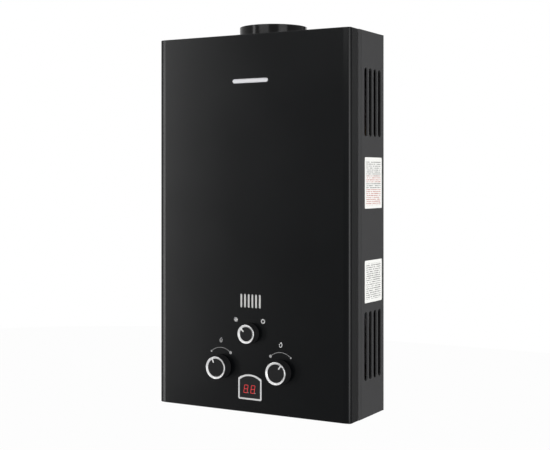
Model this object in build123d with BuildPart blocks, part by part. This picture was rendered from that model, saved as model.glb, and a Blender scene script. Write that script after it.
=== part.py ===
from build123d import *
import os
from math import cos, radians, sin, tan

os.makedirs("parts", exist_ok=True)

# A wall-hung tankless gas water heater, in millimetres. X is to the right, Y into the wall, Z up.
# The wall is the plane y = 0, and the origin is the middle of the four wall holes.

# Case
case_width = 345
case_height = 590
case_depth = 122  # front face to the rear edges of the sides
wall_gap = 12  # rear edges of the sides to the wall
sheet = 1
back_sheet = 1.5
fit_gap = 0.2  # between sheet edges that meet
bend_radius = 1.6
front_flange = 14
rear_flange = 20
groove_back = 6.5  # from the front edge of a side panel to its upright groove
groove_width = 1.6
groove_depth = 0.5
tray_gap = 2  # between the rear flanges and the tray of the back plate
panel_recess = 10  # top and bottom panels, in from the ends of the case
panel_flange = 12

# Front cover
cover_depth = 29
cover_gap = 0.8  # behind the cover, filled by its seals
cover_soft_radius = 24  # first, slow part of the turn at the upright edges
cover_soft_turn = 20  # degrees
cover_edge_radius = 5  # the rest of the turn
cover_rim_radius = 1.2
cover_hem_radius = 2
cover_lip = 6
cover_play = 0.5  # inside the lips, so that the cover pulls off
tab_x = 120
tab_width = 16
tab_length = 14
seal_width = 4

# Wall holes and screws
wall_hole_radius = 4
wall_hole_spacing = 220
wall_hole_end = 25  # from the ends of the case
screw_radius = 2
screw_length = 8
screw_head_radius = 3.6
screw_head_height = 2.2
screw_play = 0.1
case_screw_side = 11  # in from the side faces
case_screw_row = 95  # from mid height to the inner rows

# Vent slots
vent_width = 11.5
vent_length = 105
vent_land = 5.3  # between slots
vent_end = 56  # from the ends of the case
vent_front = 18.7  # least distance from the front edge of a side panel
vent_rear = 9.9
vent_lip = 1.4
vent_lip_wall = 1
vent_edge_radius = 0.5
air_slot_length = 50
air_slot_width = 5
air_slot_gap = 10
air_slot_land = 5
air_slot_x = -45
air_slot_front = 24  # from the front edge of the bottom panel

# Flue collar and draught hood
flue_wall = 1
flue_rise = 17  # above the case
flue_flange = 2.5
flue_wall_gap = 3.75  # from the back plate to the collar
flue_front_space = 19.25  # from the front face to the collar
flue_front_gap = 2
hood_height = 118
hood_margin = 1.5
relief_width = 130
relief_height = 22
relief_rise = 8

# Combustion chamber, fins and coil
front_space = 33  # from the front face to the chamber
side_space = 72.5  # from the side faces to the chamber
bracket_depth = 14.5
bracket_width = 24
bracket_height = 16
bracket_sheet = 1.5
bracket_x = 70
bracket_rise = 60  # above the foot of the chamber
bracket_drop = 90  # below the top of the chamber
window_width = 100
window_height = 24
fin_height = 58
fin_drop = 6
fin_pitch = 8
fin_end_gap = 4
coil_radius = 6
coil_wall = 1
coil_spacing = 16  # least distance between passes
coil_margin = 1.5
coil_play = 0.1
coil_reach = 12  # bends past the chamber
coil_end = 18  # ends past the chamber
bend_slack = 0.1
pipe_run = 16  # from the ends of the coil to the upright pipes
pipe_bend = 10
nut_width = 20
nut_length = 12

# Sight slots
sight_rise = 10.5  # middle of the slots above the burner ports
sight_width = 3.8
sight_land = 2.9
sight_length = 21.5
sight_count = 6
pane_margin = 5
pane_thickness = 0.8

# Burner
burner_rim = 4
burner_height = 54
rail_rise = 12
rail_depth = 8
rail_thickness = 2
blade_foot = 10
blade_land = 5
blade_neck = 4
blade_head = 7
blade_foot_height = 16
blade_neck_rise = 24
blade_head_rise = 34
blade_gap = 2
inlet_radius = 3.5
inlet_rise = 7.5
inlet_depth = 30
jet_radius = 3
jet_depth = 4
jet_reach = 2.5
jet_orifice = 0.6
jet_rise = 5  # above the middle of the manifold
jet_play = 0.05
jet_hole_play = 0.3
manifold_height = 20
manifold_depth = 12
manifold_end = 4
manifold_pipe_radius = 5.5
manifold_pipe_back = 6
manifold_pipe_gap = 4.5  # below the burner
manifold_pipe_bend = 8

# Knobs and spindles
knob_height = 67.5  # above the foot of the case
knob_ring_radius = 17.5
knob_ring_hole = 14.2
knob_rise = 18
season_ring_radius = 14.6
season_ring_hole = 11.2
season_rise = 15.5
knob_gap = 0.8
knob_draft = 1.8
knob_edge_radius = 0.6
ring_height = 3.2
ring_seat = 0.9  # face of a knob above the seat of its ring
ring_edge = 0.7
ring_play = 0.05
pointer_width = 2
pointer_length = 6.5
pointer_height = 0.7
pointer_root = 1  # into the ring
gas_pointer = -25  # degrees clockwise from upright
water_pointer = 37
season_pointer = -49
spindle_radius = 3
spindle_reach = 11  # out of the front face
spindle_end_gap = 0.5
run_clearance = 0.05
cover_hole_radius = 6
plug_radius = 8
plug_length = 26
plug_wall = 8  # behind a plug
season_plug_radius = 6
season_plug_length = 14
plug_end_gap = 0.2
gland_width = 20
gland_height = 4
gland_spigot = 1.8

# Gas and water valves
valve_width = 48
valve_back = 31  # behind the pipe line
valve_foot = 25  # below the spindles
valve_top = 14
valve_boss_radius = 13
valve_boss_length = 15
valve_front_space = 34  # from the front face to the bosses
season_boss_radius = 11
season_front_space = 9  # from the front face to the season boss
rod_radius = 2.5
rod_drop = 1
rod_back = 4  # behind the pipe line
rod_travel = 4
disc_radius = 9
disc_thickness = 4
disc_bore_radius = 10
seat_thickness = 6
seat_radius = 5
spring_length = 20
spring_radius = 7
spring_wall = 1.2
solenoid_radius = 14
solenoid_length = 22
solenoid_play = 0.1
diaphragm_radius = 27
diaphragm_thickness = 2
diaphragm_chamber = 20
diaphragm_flange = 6
diaphragm_flange_depth = 4
diaphragm_cover_depth = 12
diaphragm_cover_wall = 4
plate_radius = 16
plate_thickness = 3
clamp_circle_radius = 23.5
clamp_screw_radius = 1.5
clamp_screw_head = 2.8
clamp_screw_head_height = 2
clamp_screw_length = 18
clamp_screw_count = 6
yoke_length = 40
yoke_radius = 12
yoke_bore = 7
yoke_pad = 3
arm_thickness = 2
arm_width = 3
arm_height = 19
arm_play = 1
switch_inset = 4  # from the gas valve
switch_length = 14
switch_width = 10
switch_height = 12
switch_gap = 2  # between the switch and the arm at full travel
plunger_radius = 1.5
plunger_drop = 2  # below the top of the arm
plunger_gap = 0.3
plunger_hold = 8

# Connections under the case
stub_radius = 10.48
stub_bore = 7
stub_drop = 16  # below the case
stub_chamfer = 1
stub_neck = 1  # undercut below the panel
stub_neck_radius = 9.9
stub_hole_play = 0.32
fitting_width = 27
fitting_height = 8
fitting_neck = 9
fitting_bore = 4.5
hot_gap = 20  # from the solenoid to the hot outlet
hot_neck_rise = 26
hot_bend_rise = 30
hot_jog = 48
drain_back = 23  # behind the pipe line
drain_radius = 4
drain_spigot_radius = 3
drain_spigot = 8
drain_cap_radius = 6.5
drain_cap_height = 12
drain_cap_drop = 3  # below the bottom panel
drain_groove_radius = 0.8
drain_groove_count = 12
feed_x = 12  # feed outlet, outward of the water spindle
feed_rise = 19.5
feed_gap = 2  # below the burner
feed_bend = 8
feed_nut_length = 8

# Electrodes, thermostat and control box
electrode_x = 40
electrode_front = 17  # ahead of the chamber
electrode_radius = 3.5
electrode_play = 0.1
electrode_top = 6  # above the burner ports
electrode_length = 38
electrode_collar_radius = 5
electrode_collar_height = 3
wire_radius = 0.9
wire_rise = 12
wire_reach = 26
wire_bend = 4
shelf_drop = 18  # below the burner ports
shelf_thickness = 1.5
shelf_margin = 6
shelf_upright = 14
shelf_side = 8
thermostat_radius = 8
thermostat_height = 8
thermostat_z = 40
control_width = 34
control_height = 100
control_z = -45
control_gap = 4.5  # behind the hot pipe
control_back_gap = 13.5  # ahead of the back plate's flange
control_edge_radius = 2

# Batteries
cell_radius = 16.6
cell_length = 61
cell_nub_radius = 4.5
cell_nub_height = 2
cell_gap = 0.4
cell_foot = 1
cell_stack_gap = 0.2
cell_contact = 2
battery_wall = 2
battery_side_gap = 12  # from the side panel
battery_front_gap = 22.25  # from the front flange of the bottom panel
battery_flange = 3
battery_flange_thickness = 1.5
hinge_back = 5  # behind the battery box
hinge_drop = 3.5
hinge_ear = 3
hinge_ear_width = 4
hinge_spread = 14
hinge_pin_radius = 1.5
hinge_barrel = 2.4
hinge_play = 0.5
lid_gap = 0.3
lid_thickness = 2.4
lid_margin = 1
grip_width = 20
grip_depth = 3
grip_height = 1.6

# Display
display_width = 42
display_bottom = 20  # above the foot of the case
display_shoulder = 32.9
display_arch = 6.5
display_corner = 2.5
bezel_width = 2.5
bezel_rise = 1.5
bezel_spigot = 2
bezel_spigot_wall = 0.9
window_rise = 0.9
window_thickness = 2.5
window_play = 0.1
digit_block_width = 26
digit_block_height = 20
digit_block_depth = 8
board_width = 36
board_height = 26
board_thickness = 1.6
board_drop = 2.8  # digits below the middle of the display

# Leads
lead_radius = 2
lead_fill = 0.45  # share of the shorter run that a bend takes
lead_drop = 45  # straight below the control box
lead_spread = 10  # between leads at the control box
lead_clear = 8  # below the manifold and ahead of the valves
lead_tray = 10  # inside the tray of the back plate

# Planes and places that follow from the sizes
half_width = case_width / 2
half_height = case_height / 2
foot_z = -half_height
front_y = -(wall_gap + case_depth)
inner_y = front_y + sheet
seam_y = front_y + cover_depth
frame_y = seam_y + cover_gap
rear_y = -wall_gap
back_flange_y = rear_y - sheet - back_sheet
side_x = half_width - sheet
opening_x = side_x - cover_lip
tray_x = half_width - rear_flange - tray_gap
top_z = half_height - panel_recess
top_inner_z = top_z - sheet
bottom_z = -top_z
bottom_inner_z = -top_inner_z
flange_z = top_inner_z - fit_gap
flue_back_y = -(back_sheet + flue_wall_gap)
flue_front_y = front_y + flue_front_space
flue_radius = (flue_back_y - flue_front_y) / 2
flue_y = (flue_back_y + flue_front_y) / 2
panel_y = flue_front_y - flue_flange - flue_front_gap
return_y = panel_y - cover_gap
tab_screw_y = return_y + tab_length / 2
vent_z = half_height - vent_end - vent_length / 2
vent_span = rear_y - vent_rear - frame_y - vent_front
vent_pitch = vent_width + vent_land
vent_count = int((vent_span + vent_land) // vent_pitch)
vent_y = (rear_y - vent_rear + frame_y + vent_front) / 2
wall_hole_z = half_height - wall_hole_end
case_screw_rows = (-wall_hole_z, -case_screw_row, case_screw_row, wall_hole_z)
case_screw_x = half_width - case_screw_side

chamber_x = half_width - side_space
chamber_y = front_y + front_space
chamber_back = -(back_sheet + bracket_depth)
chamber_depth = chamber_back - chamber_y
shell_top_z = top_inner_z - hood_height
fin_top_z = shell_top_z - fin_drop
fin_foot_z = fin_top_z - fin_height
coil_z = fin_foot_z + fin_height / 2
coil_front_y = chamber_y + sheet + coil_margin + coil_radius
coil_back_y = chamber_back - sheet - coil_margin - coil_radius
coil_passes = 2 * int((coil_back_y - coil_front_y) // (2 * coil_spacing)) + 1
coil_pitch = (coil_back_y - coil_front_y) / (coil_passes - 1)
coil_rows = [coil_back_y - row * coil_pitch for row in range(coil_passes)]
bend_x = chamber_x + coil_reach
end_x = chamber_x + coil_end
pipe_x = end_x + pipe_run
knob_z = foot_z + knob_height
valve_top_z = knob_z + valve_top
feed_run_z = valve_top_z + feed_rise
burner_foot_z = feed_run_z + coil_radius + feed_gap
port_z = burner_foot_z + burner_height
chamber_foot_z = port_z + burner_rim
sight_z = port_z + sight_rise
blade_foot_z = burner_foot_z + rail_rise
jet_z = blade_foot_z + inlet_rise
season_z = jet_z - jet_rise
blade_pitch = blade_foot + blade_land
blade_count = int((2 * (chamber_x - sheet) - blade_foot) // blade_pitch)
blade_rows = [(place - (blade_count - 1) / 2) * blade_pitch for place in range(blade_count)]
manifold_y = chamber_y - manifold_depth
manifold_foot_z = season_z - manifold_height / 2
manifold_pipe_y = chamber_y - manifold_pipe_back

boss_y = front_y + valve_front_space
season_boss_y = front_y + season_front_space
rod_z = knob_z - rod_drop
plug_end_y = boss_y + gland_spigot + plug_end_gap + plug_length
rod_y = plug_end_y + plug_wall + disc_bore_radius
pipe_y = rod_y - rod_back
season_plug_end_y = season_boss_y + gland_spigot + plug_end_gap + season_plug_length
valve_foot_z = knob_z - valve_foot
valve_front_y = boss_y + valve_boss_length
valve_back_y = pipe_y + valve_back
valve_inner_x = (yoke_length + diaphragm_cover_depth + diaphragm_thickness + diaphragm_flange) / 2
valve_outer_x = valve_inner_x + valve_width
knob_x = (valve_inner_x + valve_outer_x) / 2
seat_x = -valve_inner_x - seat_thickness
disc_x = seat_x - disc_thickness
spring_x = disc_x - spring_length
diaphragm_x = valve_inner_x - diaphragm_flange
diaphragm_cover_x = diaphragm_x - diaphragm_thickness
yoke_x = diaphragm_cover_x - diaphragm_cover_depth
yoke_top_z = rod_z + yoke_radius
plunger_z = rod_z + arm_height - plunger_drop
switch_x = switch_inset + switch_length - valve_inner_x
arm_left_x = switch_x + switch_gap + rod_travel

hot_x = -(valve_outer_x + solenoid_length + hot_gap)
hot_neck_z = bottom_inner_z + hot_neck_rise
stub_end_z = foot_z - stub_drop
drain_y = pipe_y + drain_back
feed_out_x = knob_x + feed_x
electrode_y = chamber_y - electrode_front
electrode_top_z = port_z + electrode_top
electrode_foot_z = electrode_top_z - electrode_length
shelf_z = port_z - shelf_drop
control_front_y = coil_front_y + coil_radius + control_gap
control_back_y = back_flange_y - control_back_gap
control_y = (control_front_y + control_back_y) / 2
control_foot_z = control_z - control_height / 2

bay_half = cell_radius + cell_gap
battery_half = bay_half + battery_wall
battery_x = side_x - battery_side_gap - battery_half
battery_front = panel_y + sheet + battery_front_gap
battery_y = battery_front + battery_half
battery_back = battery_y + battery_half
mouth_z = bottom_z - battery_flange_thickness
cell_pitch = cell_length + cell_nub_height + cell_stack_gap
bay_top_z = mouth_z + cell_foot + 2 * cell_pitch + cell_contact
battery_top_z = bay_top_z + battery_wall
hinge_y = battery_back + hinge_back
hinge_z = mouth_z - hinge_drop

display_foot_z = foot_z + display_bottom
display_shoulder_z = display_foot_z + display_shoulder
display_top_z = display_shoulder_z + display_arch
display_z = (display_foot_z + display_top_z) / 2 - board_drop
window_back_y = front_y - window_rise + window_thickness
board_y = window_back_y + digit_block_depth

lead_x = control_width / 2 - side_x
lead_tray_x = tray_x - lead_tray
lead_back_y = -(back_sheet + bracket_depth / 2)
ignition_run_z = manifold_foot_z - lead_clear
battery_run_z = feed_run_z - coil_radius - lead_clear


def front_plane(y):
    """A plane that faces out of the front, with X across and Z up."""
    return Plane(origin=(0, y, 0), x_dir=(1, 0, 0), z_dir=(0, -1, 0))


def side_plane(x):
    """A plane that faces right, with Y across and Z up."""
    return Plane(origin=(x, 0, 0), x_dir=(0, 1, 0), z_dir=(1, 0, 0))


def block(start, end, mode=Mode.ADD):
    """Put a block between two opposite corners into the piece being made."""
    spans = [abs(b - a) for a, b in zip(start, end)]
    middle = tuple((a + b) / 2 for a, b in zip(start, end))
    with Locations(middle):
        Box(*spans, mode=mode)


def bar(start, end, radius, mode=Mode.ADD):
    """Put a round bar from one point to another into the piece being made."""
    axis = Vector(*end) - Vector(*start)
    with Locations(Plane(origin=start, z_dir=axis)):
        Cylinder(radius, axis.length, align=(Align.CENTER, Align.CENTER, Align.MIN), mode=mode)


def hexagon(start, end, width):
    """Put a hexagonal bar, as wide across its flats as given, into the piece being made."""
    axis = Vector(*end) - Vector(*start)
    with BuildSketch(Plane(origin=start, z_dir=axis)) as outline:
        RegularPolygon(width / 2, 6, major_radius=False)
    extrude(outline.sketch, amount=axis.length, dir=axis.normalized())


def screw(seat, out, radius, length, head_radius, head_height):
    """Put a screw, seated under its head, into the piece being made."""
    with Locations(Plane(origin=seat, z_dir=out)):
        Cylinder(head_radius, head_height, align=(Align.CENTER, Align.CENTER, Align.MIN))
        Cylinder(radius, length, align=(Align.CENTER, Align.CENTER, Align.MAX))


def bent_tube(points, radius, bends, wall=None):
    """A tube along straight runs that are joined by arcs, hollow where a wall is given."""
    with BuildPart() as tube:
        with BuildLine() as route:
            FilletPolyline(*points, radius=bends)
        with BuildSketch(Plane(origin=points[0], z_dir=Vector(*points[1]) - Vector(*points[0]))):
            Circle(radius)
            if wall:
                Circle(radius - wall, mode=Mode.SUBTRACT)
        sweep(path=route.wires()[0])
    return tube.part


def lead_bends(points):
    """Bend radii for a lead, each as large as its two runs allow."""
    places = [Vector(*point) for point in points]
    bends = []
    for before, corner, after in zip(places, places[1:], places[2:]):
        arriving = corner - before
        leaving = after - corner
        turn = radians(arriving.get_angle(leaving))
        bends.append(lead_fill * min(arriving.length, leaving.length) / tan(turn / 2))
    return bends


def save(piece, node):
    """Label a finished piece and write it under its node's name."""
    piece.part.label = node
    export_step(piece.part, f"parts/{node}.step")


# Case

with BuildPart() as back_plate:
    block((-tray_x, -back_sheet, foot_z), (tray_x, 0, half_height))
    for side in (-1, 1):
        wall_x = side * (tray_x - back_sheet)
        block((wall_x, back_flange_y, foot_z), (side * tray_x, 0, half_height))
        block((wall_x, back_flange_y, foot_z), (side * (side_x - fit_gap), rear_y - sheet, half_height))
    with BuildSketch(front_plane(0)):
        with GridLocations(wall_hole_spacing, 2 * wall_hole_z, 2, 2):
            Circle(wall_hole_radius)
    extrude(amount=back_sheet, mode=Mode.SUBTRACT)
    for row_z in case_screw_rows:
        for x in (-case_screw_x, case_screw_x):
            bar((x, back_flange_y, row_z), (x, rear_y, row_z), screw_radius + screw_play, Mode.SUBTRACT)
save(back_plate, "back_plate")

with BuildPart() as right_side_panel:
    block((side_x, frame_y, foot_z), (half_width, rear_y, half_height))
    block((half_width - front_flange, frame_y, foot_z), (half_width, frame_y + sheet, half_height))
    block((half_width - rear_flange, rear_y - sheet, foot_z), (half_width, rear_y, half_height))
    fillet(right_side_panel.edges().filter_by(Axis.Z).group_by(Axis.X)[-1], bend_radius)
    for end_z in (foot_z, half_height):
        stop_z = flange_z if end_z > 0 else -flange_z
        block(
            (half_width - front_flange, frame_y, stop_z),
            (opening_x, frame_y + sheet, end_z),
            mode=Mode.SUBTRACT,
        )
    with BuildSketch(side_plane(side_x)):
        with Locations((vent_y, 0)):
            with GridLocations(vent_pitch, 2 * vent_z, vent_count, 2):
                SlotOverall(vent_length + 2 * vent_lip_wall, vent_width + 2 * vent_lip_wall, rotation=90)
    extrude(amount=-vent_lip)
    with BuildSketch(side_plane(half_width)):
        with Locations((vent_y, 0)):
            with GridLocations(vent_pitch, 2 * vent_z, vent_count, 2):
                SlotOverall(vent_length, vent_width, rotation=90)
    extrude(amount=-(sheet + vent_lip), mode=Mode.SUBTRACT)
    outer_face = right_side_panel.faces().filter_by(Axis.X).sort_by(Axis.X)[-1]
    fillet(ShapeList(edge for wire in outer_face.inner_wires() for edge in wire.edges()), vent_edge_radius)
    block(
        (half_width - groove_depth, frame_y + groove_back, foot_z),
        (half_width, frame_y + groove_back + groove_width, half_height),
        mode=Mode.SUBTRACT,
    )
    for row_z in case_screw_rows:
        bar(
            (case_screw_x, rear_y - sheet, row_z),
            (case_screw_x, rear_y, row_z),
            screw_radius + screw_play,
            Mode.SUBTRACT,
        )
save(right_side_panel, "right_side_panel")

with BuildPart() as left_side_panel:
    mirror(right_side_panel.part, about=Plane.YZ)
save(left_side_panel, "left_side_panel")


def panel_blank(outer_z, inner_z):
    """A top or bottom panel with its flanges turned inward, before its own openings are cut."""
    flange_end_z = inner_z - panel_flange if inner_z > 0 else inner_z + panel_flange
    front_x = opening_x - cover_play
    tongue_x = tray_x - back_sheet - fit_gap
    with BuildPart() as blank:
        block((-side_x, frame_y + sheet, outer_z), (side_x, back_flange_y, inner_z))
        block((-front_x, panel_y, outer_z), (front_x, frame_y + sheet, inner_z))
        block((-tongue_x, back_flange_y, outer_z), (tongue_x, -back_sheet, inner_z))
        block((-front_x, panel_y, inner_z), (front_x, panel_y + sheet, flange_end_z))
        for side in (-1, 1):
            block(
                (side * (side_x - sheet), frame_y + sheet, inner_z),
                (side * side_x, back_flange_y, flange_end_z),
            )
            x = side * tab_x
            bar((x, tab_screw_y, outer_z), (x, tab_screw_y, inner_z), screw_radius + screw_play, Mode.SUBTRACT)
    return blank.part


with BuildPart() as top_panel:
    add(panel_blank(top_z, top_inner_z))
    bar((0, flue_y, top_inner_z), (0, flue_y, top_z), flue_radius - flue_wall, Mode.SUBTRACT)
save(top_panel, "top_panel")

with BuildPart() as bottom_panel:
    add(panel_blank(bottom_z, bottom_inner_z))
    for x in (hot_x, -knob_x, knob_x):
        bar((x, pipe_y, bottom_z), (x, pipe_y, bottom_inner_z), stub_radius + stub_hole_play, Mode.SUBTRACT)
    bar((knob_x, drain_y, bottom_z), (knob_x, drain_y, bottom_inner_z), drain_radius + fit_gap, Mode.SUBTRACT)
    block(
        (battery_x - battery_half - fit_gap, battery_front - fit_gap, bottom_z),
        (battery_x + battery_half + fit_gap, battery_back + fit_gap, bottom_inner_z),
        mode=Mode.SUBTRACT,
    )
    with BuildSketch(Plane.XY.offset(bottom_z)):
        with Locations((air_slot_x, panel_y + air_slot_front)):
            with GridLocations(air_slot_length + air_slot_gap, air_slot_width + air_slot_land, 3, 2):
                SlotOverall(air_slot_length, air_slot_width)
    extrude(amount=sheet, mode=Mode.SUBTRACT)
save(bottom_panel, "bottom_panel")


def display_outline(inset):
    """The arch-topped outline of the display, drawn in by an inset, in the sketch being made."""
    half = display_width / 2 - inset
    foot = display_foot_z + inset
    shoulder = display_shoulder_z - inset
    with BuildLine() as outline:
        Polyline((-half, shoulder), (-half, foot), (half, foot), (half, shoulder))
        ThreePointArc((half, shoulder), (0, display_top_z - inset), (-half, shoulder))
    face = make_face(outline.edges())
    fillet(face.vertices(), max(display_corner - inset, fit_gap))


def cover_plan(inset):
    """The front cover seen from above, drawn in by an inset, in the sketch being made."""
    half = half_width - inset
    front, back = front_y + inset, seam_y - inset
    soft, tight = cover_soft_radius - inset, cover_edge_radius - inset
    lean = sin(radians(cover_soft_turn))
    turn_x = half - soft * lean - tight * (1 - lean)
    with BuildLine() as outline:
        soft_turn = JernArc((turn_x, front), (1, 0), soft, cover_soft_turn)
        tight_turn = JernArc(soft_turn @ 1, soft_turn % 1, tight, 90 - cover_soft_turn)
        Line(tight_turn @ 1, (half, back))
        mirror(about=Plane.YZ)
        Line((-turn_x, front), (turn_x, front))
        Line((-half, back), (half, back))
    make_face(outline.edges())


with BuildPart() as front_cover:
    with BuildSketch(Plane.XY.offset(foot_z)):
        cover_plan(0)
    extrude(amount=case_height)
    fillet(front_cover.edges().filter_by(Axis.Z).group_by(Axis.Y)[-1], cover_hem_radius)
    ends = front_cover.faces().sort_by(Axis.Z)
    fillet(ends[0].edges() + ends[-1].edges(), cover_rim_radius)
    with BuildSketch(Plane.XY.offset(foot_z + sheet)):
        cover_plan(sheet)
    extrude(amount=case_height - 2 * sheet, mode=Mode.SUBTRACT)
    block((-opening_x, return_y, foot_z), (opening_x, seam_y, half_height), mode=Mode.SUBTRACT)
    for end_z, face_z, tab_z in (
        (half_height - sheet, top_z, top_z + sheet),
        (foot_z + sheet, bottom_z, bottom_z - sheet),
    ):
        block((-opening_x, return_y - sheet, end_z), (opening_x, return_y, face_z))
        for x in (-tab_x, tab_x):
            block(
                (x - tab_width / 2, return_y - sheet, face_z),
                (x + tab_width / 2, return_y + tab_length, tab_z),
            )
            bar((x, tab_screw_y, face_z), (x, tab_screw_y, tab_z), screw_radius + screw_play, Mode.SUBTRACT)
    with BuildSketch(front_plane(front_y)):
        with Locations((0, sight_z)):
            with GridLocations(sight_width + sight_land, sight_length, sight_count, 1):
                SlotOverall(sight_length, sight_width, rotation=90)
        with Locations((-knob_x, knob_z), (knob_x, knob_z), (0, season_z)):
            Circle(cover_hole_radius)
        display_outline(bezel_width - bezel_spigot_wall - fit_gap)
    extrude(amount=-sheet, mode=Mode.SUBTRACT)
save(front_cover, "front_cover")

with BuildPart() as cover_seals:
    for side in (-1, 1):
        block(
            (side * (opening_x + cover_play), seam_y, foot_z + cover_rim_radius),
            (side * (opening_x + cover_play + seal_width), frame_y, half_height - cover_rim_radius),
        )
save(cover_seals, "cover_seals")

with BuildPart() as case_screws:
    screw_size = (screw_radius, screw_length, screw_head_radius, screw_head_height)
    for side in (-1, 1):
        for row_z in case_screw_rows:
            screw((side * case_screw_x, rear_y, row_z), (0, 1, 0), *screw_size)
        screw((side * tab_x, tab_screw_y, top_z + sheet), (0, 0, 1), *screw_size)
        screw((side * tab_x, tab_screw_y, bottom_z - sheet), (0, 0, -1), *screw_size)
save(case_screws, "case_screws")

# Flue and heat exchanger

with BuildPart() as flue_collar:
    bar((0, flue_y, top_z), (0, flue_y, top_z + sheet), flue_radius + flue_flange)
    bar((0, flue_y, top_z), (0, flue_y, half_height + flue_rise), flue_radius)
    bar((0, flue_y, top_z), (0, flue_y, half_height + flue_rise), flue_radius - flue_wall, Mode.SUBTRACT)
save(flue_collar, "flue_collar")


def hood_form(inset, top):
    """The tapered form of the draught hood, drawn in by an inset."""
    with BuildPart() as form:
        with BuildSketch(Plane.XY.offset(shell_top_z)):
            with Locations((0, (chamber_y + chamber_back) / 2)):
                Rectangle(2 * (chamber_x - inset), chamber_depth - 2 * inset)
        with BuildSketch(Plane.XY.offset(top)):
            with Locations((0, flue_y)):
                Rectangle(*[2 * (flue_radius + hood_margin - inset)] * 2)
        loft()
    return form.part


with BuildPart() as draught_hood:
    add(hood_form(0, top_inner_z))
    add(hood_form(sheet, top_inner_z - sheet), mode=Mode.SUBTRACT)
    bar((0, flue_y, top_inner_z - sheet), (0, flue_y, top_inner_z), flue_radius - flue_wall, Mode.SUBTRACT)
    relief_z = shell_top_z + relief_rise
    block(
        (-relief_width / 2, front_y, relief_z),
        (relief_width / 2, (chamber_y + chamber_back) / 2, relief_z + relief_height),
        mode=Mode.SUBTRACT,
    )
save(draught_hood, "draught_hood")


def coil_holes(play):
    """Cut the passes of the coil, with some play, through the piece being made."""
    for row_y in coil_rows:
        bar((-chamber_x, row_y, coil_z), (chamber_x, row_y, coil_z), coil_radius + play, Mode.SUBTRACT)


with BuildPart() as combustion_chamber:
    block((-chamber_x, chamber_y, chamber_foot_z), (chamber_x, chamber_back, shell_top_z))
    block(
        (sheet - chamber_x, chamber_y + sheet, chamber_foot_z),
        (chamber_x - sheet, chamber_back - sheet, shell_top_z),
        mode=Mode.SUBTRACT,
    )
    block(
        (-window_width / 2, chamber_y, chamber_foot_z),
        (window_width / 2, chamber_y + sheet, chamber_foot_z + window_height),
        mode=Mode.SUBTRACT,
    )
    coil_holes(coil_play)
save(combustion_chamber, "combustion_chamber")

with BuildPart() as fin_pack:
    fin_span = chamber_x - sheet - fin_end_gap
    fin_count = int(2 * fin_span // fin_pitch)
    with BuildSketch(Plane.XY.offset(fin_foot_z)):
        for wall_y in (chamber_y + 1.5 * sheet, chamber_back - 1.5 * sheet):
            with Locations((0, wall_y)):
                Rectangle((fin_count - 1) * fin_pitch + sheet, sheet)
        with Locations((0, (chamber_y + chamber_back) / 2)):
            with GridLocations(fin_pitch, chamber_depth, fin_count, 1):
                Rectangle(sheet, chamber_depth - 2 * sheet)
    extrude(amount=fin_height)
    coil_holes(coil_play)
save(fin_pack, "fin_pack")

coil_route = [(end_x, coil_back_y, coil_z)]
for row, row_y in enumerate(coil_rows[:-1]):
    turn_x = bend_x if row % 2 else -bend_x
    coil_route += [(turn_x, row_y, coil_z), (turn_x, row_y - coil_pitch, coil_z)]
coil_route.append((-end_x, coil_front_y, coil_z))

with BuildPart() as exchanger_coil:
    add(bent_tube(coil_route, coil_radius, coil_pitch / 2 - bend_slack, coil_wall))
save(exchanger_coil, "exchanger_coil")

cold_route = [
    (end_x, coil_back_y, coil_z),
    (pipe_x, coil_back_y, coil_z),
    (pipe_x, coil_back_y, feed_run_z),
    (feed_out_x, pipe_y, feed_run_z),
    (feed_out_x, pipe_y, valve_top_z),
]
with BuildPart() as cold_feed_pipe:
    add(bent_tube(cold_route, coil_radius, (pipe_bend, pipe_bend, feed_bend), coil_wall))
save(cold_feed_pipe, "cold_feed_pipe")

hot_bend_z = hot_neck_z + hot_bend_rise
hot_route = [
    (-end_x, coil_front_y, coil_z),
    (-pipe_x, coil_front_y, coil_z),
    (-pipe_x, coil_front_y, hot_bend_z + hot_jog),
    (hot_x, pipe_y, hot_bend_z),
    (hot_x, pipe_y, hot_neck_z),
]
with BuildPart() as hot_pipe:
    add(bent_tube(hot_route, coil_radius, pipe_bend, coil_wall))
save(hot_pipe, "hot_pipe")

with BuildPart() as union_nuts:
    for x, row_y in ((end_x, coil_back_y), (-end_x, coil_front_y)):
        hexagon((x - nut_length / 2, row_y, coil_z), (x + nut_length / 2, row_y, coil_z), nut_width)
        bar(
            (x - nut_length / 2, row_y, coil_z),
            (x + nut_length / 2, row_y, coil_z),
            coil_radius + coil_play,
            Mode.SUBTRACT,
        )
    for x, y, low_z, high_z in (
        (feed_out_x, pipe_y, valve_top_z, valve_top_z + feed_nut_length),
        (hot_x, pipe_y, hot_neck_z - nut_length / 2, hot_neck_z + nut_length / 2),
    ):
        hexagon((x, y, low_z), (x, y, high_z), nut_width)
        bar((x, y, low_z), (x, y, high_z), coil_radius + coil_play, Mode.SUBTRACT)
save(union_nuts, "union_nuts")

with BuildPart() as support_brackets:
    bracket_rows = (
        burner_foot_z + burner_height / 2,
        chamber_foot_z + bracket_rise,
        shell_top_z - bracket_drop,
    )
    for x in (-bracket_x, bracket_x):
        for row_z in bracket_rows:
            left = x - bracket_width / 2
            right = x + bracket_width / 2
            low_z = row_z - bracket_height / 2
            high_z = row_z + bracket_height / 2
            block((left, chamber_back, low_z), (right, chamber_back + bracket_sheet, high_z))
            block((left, -back_sheet - bracket_sheet, low_z), (right, -back_sheet, high_z))
            block((left, chamber_back, row_z), (right, -back_sheet, row_z + bracket_sheet))
save(support_brackets, "support_brackets")

# Burner

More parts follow.
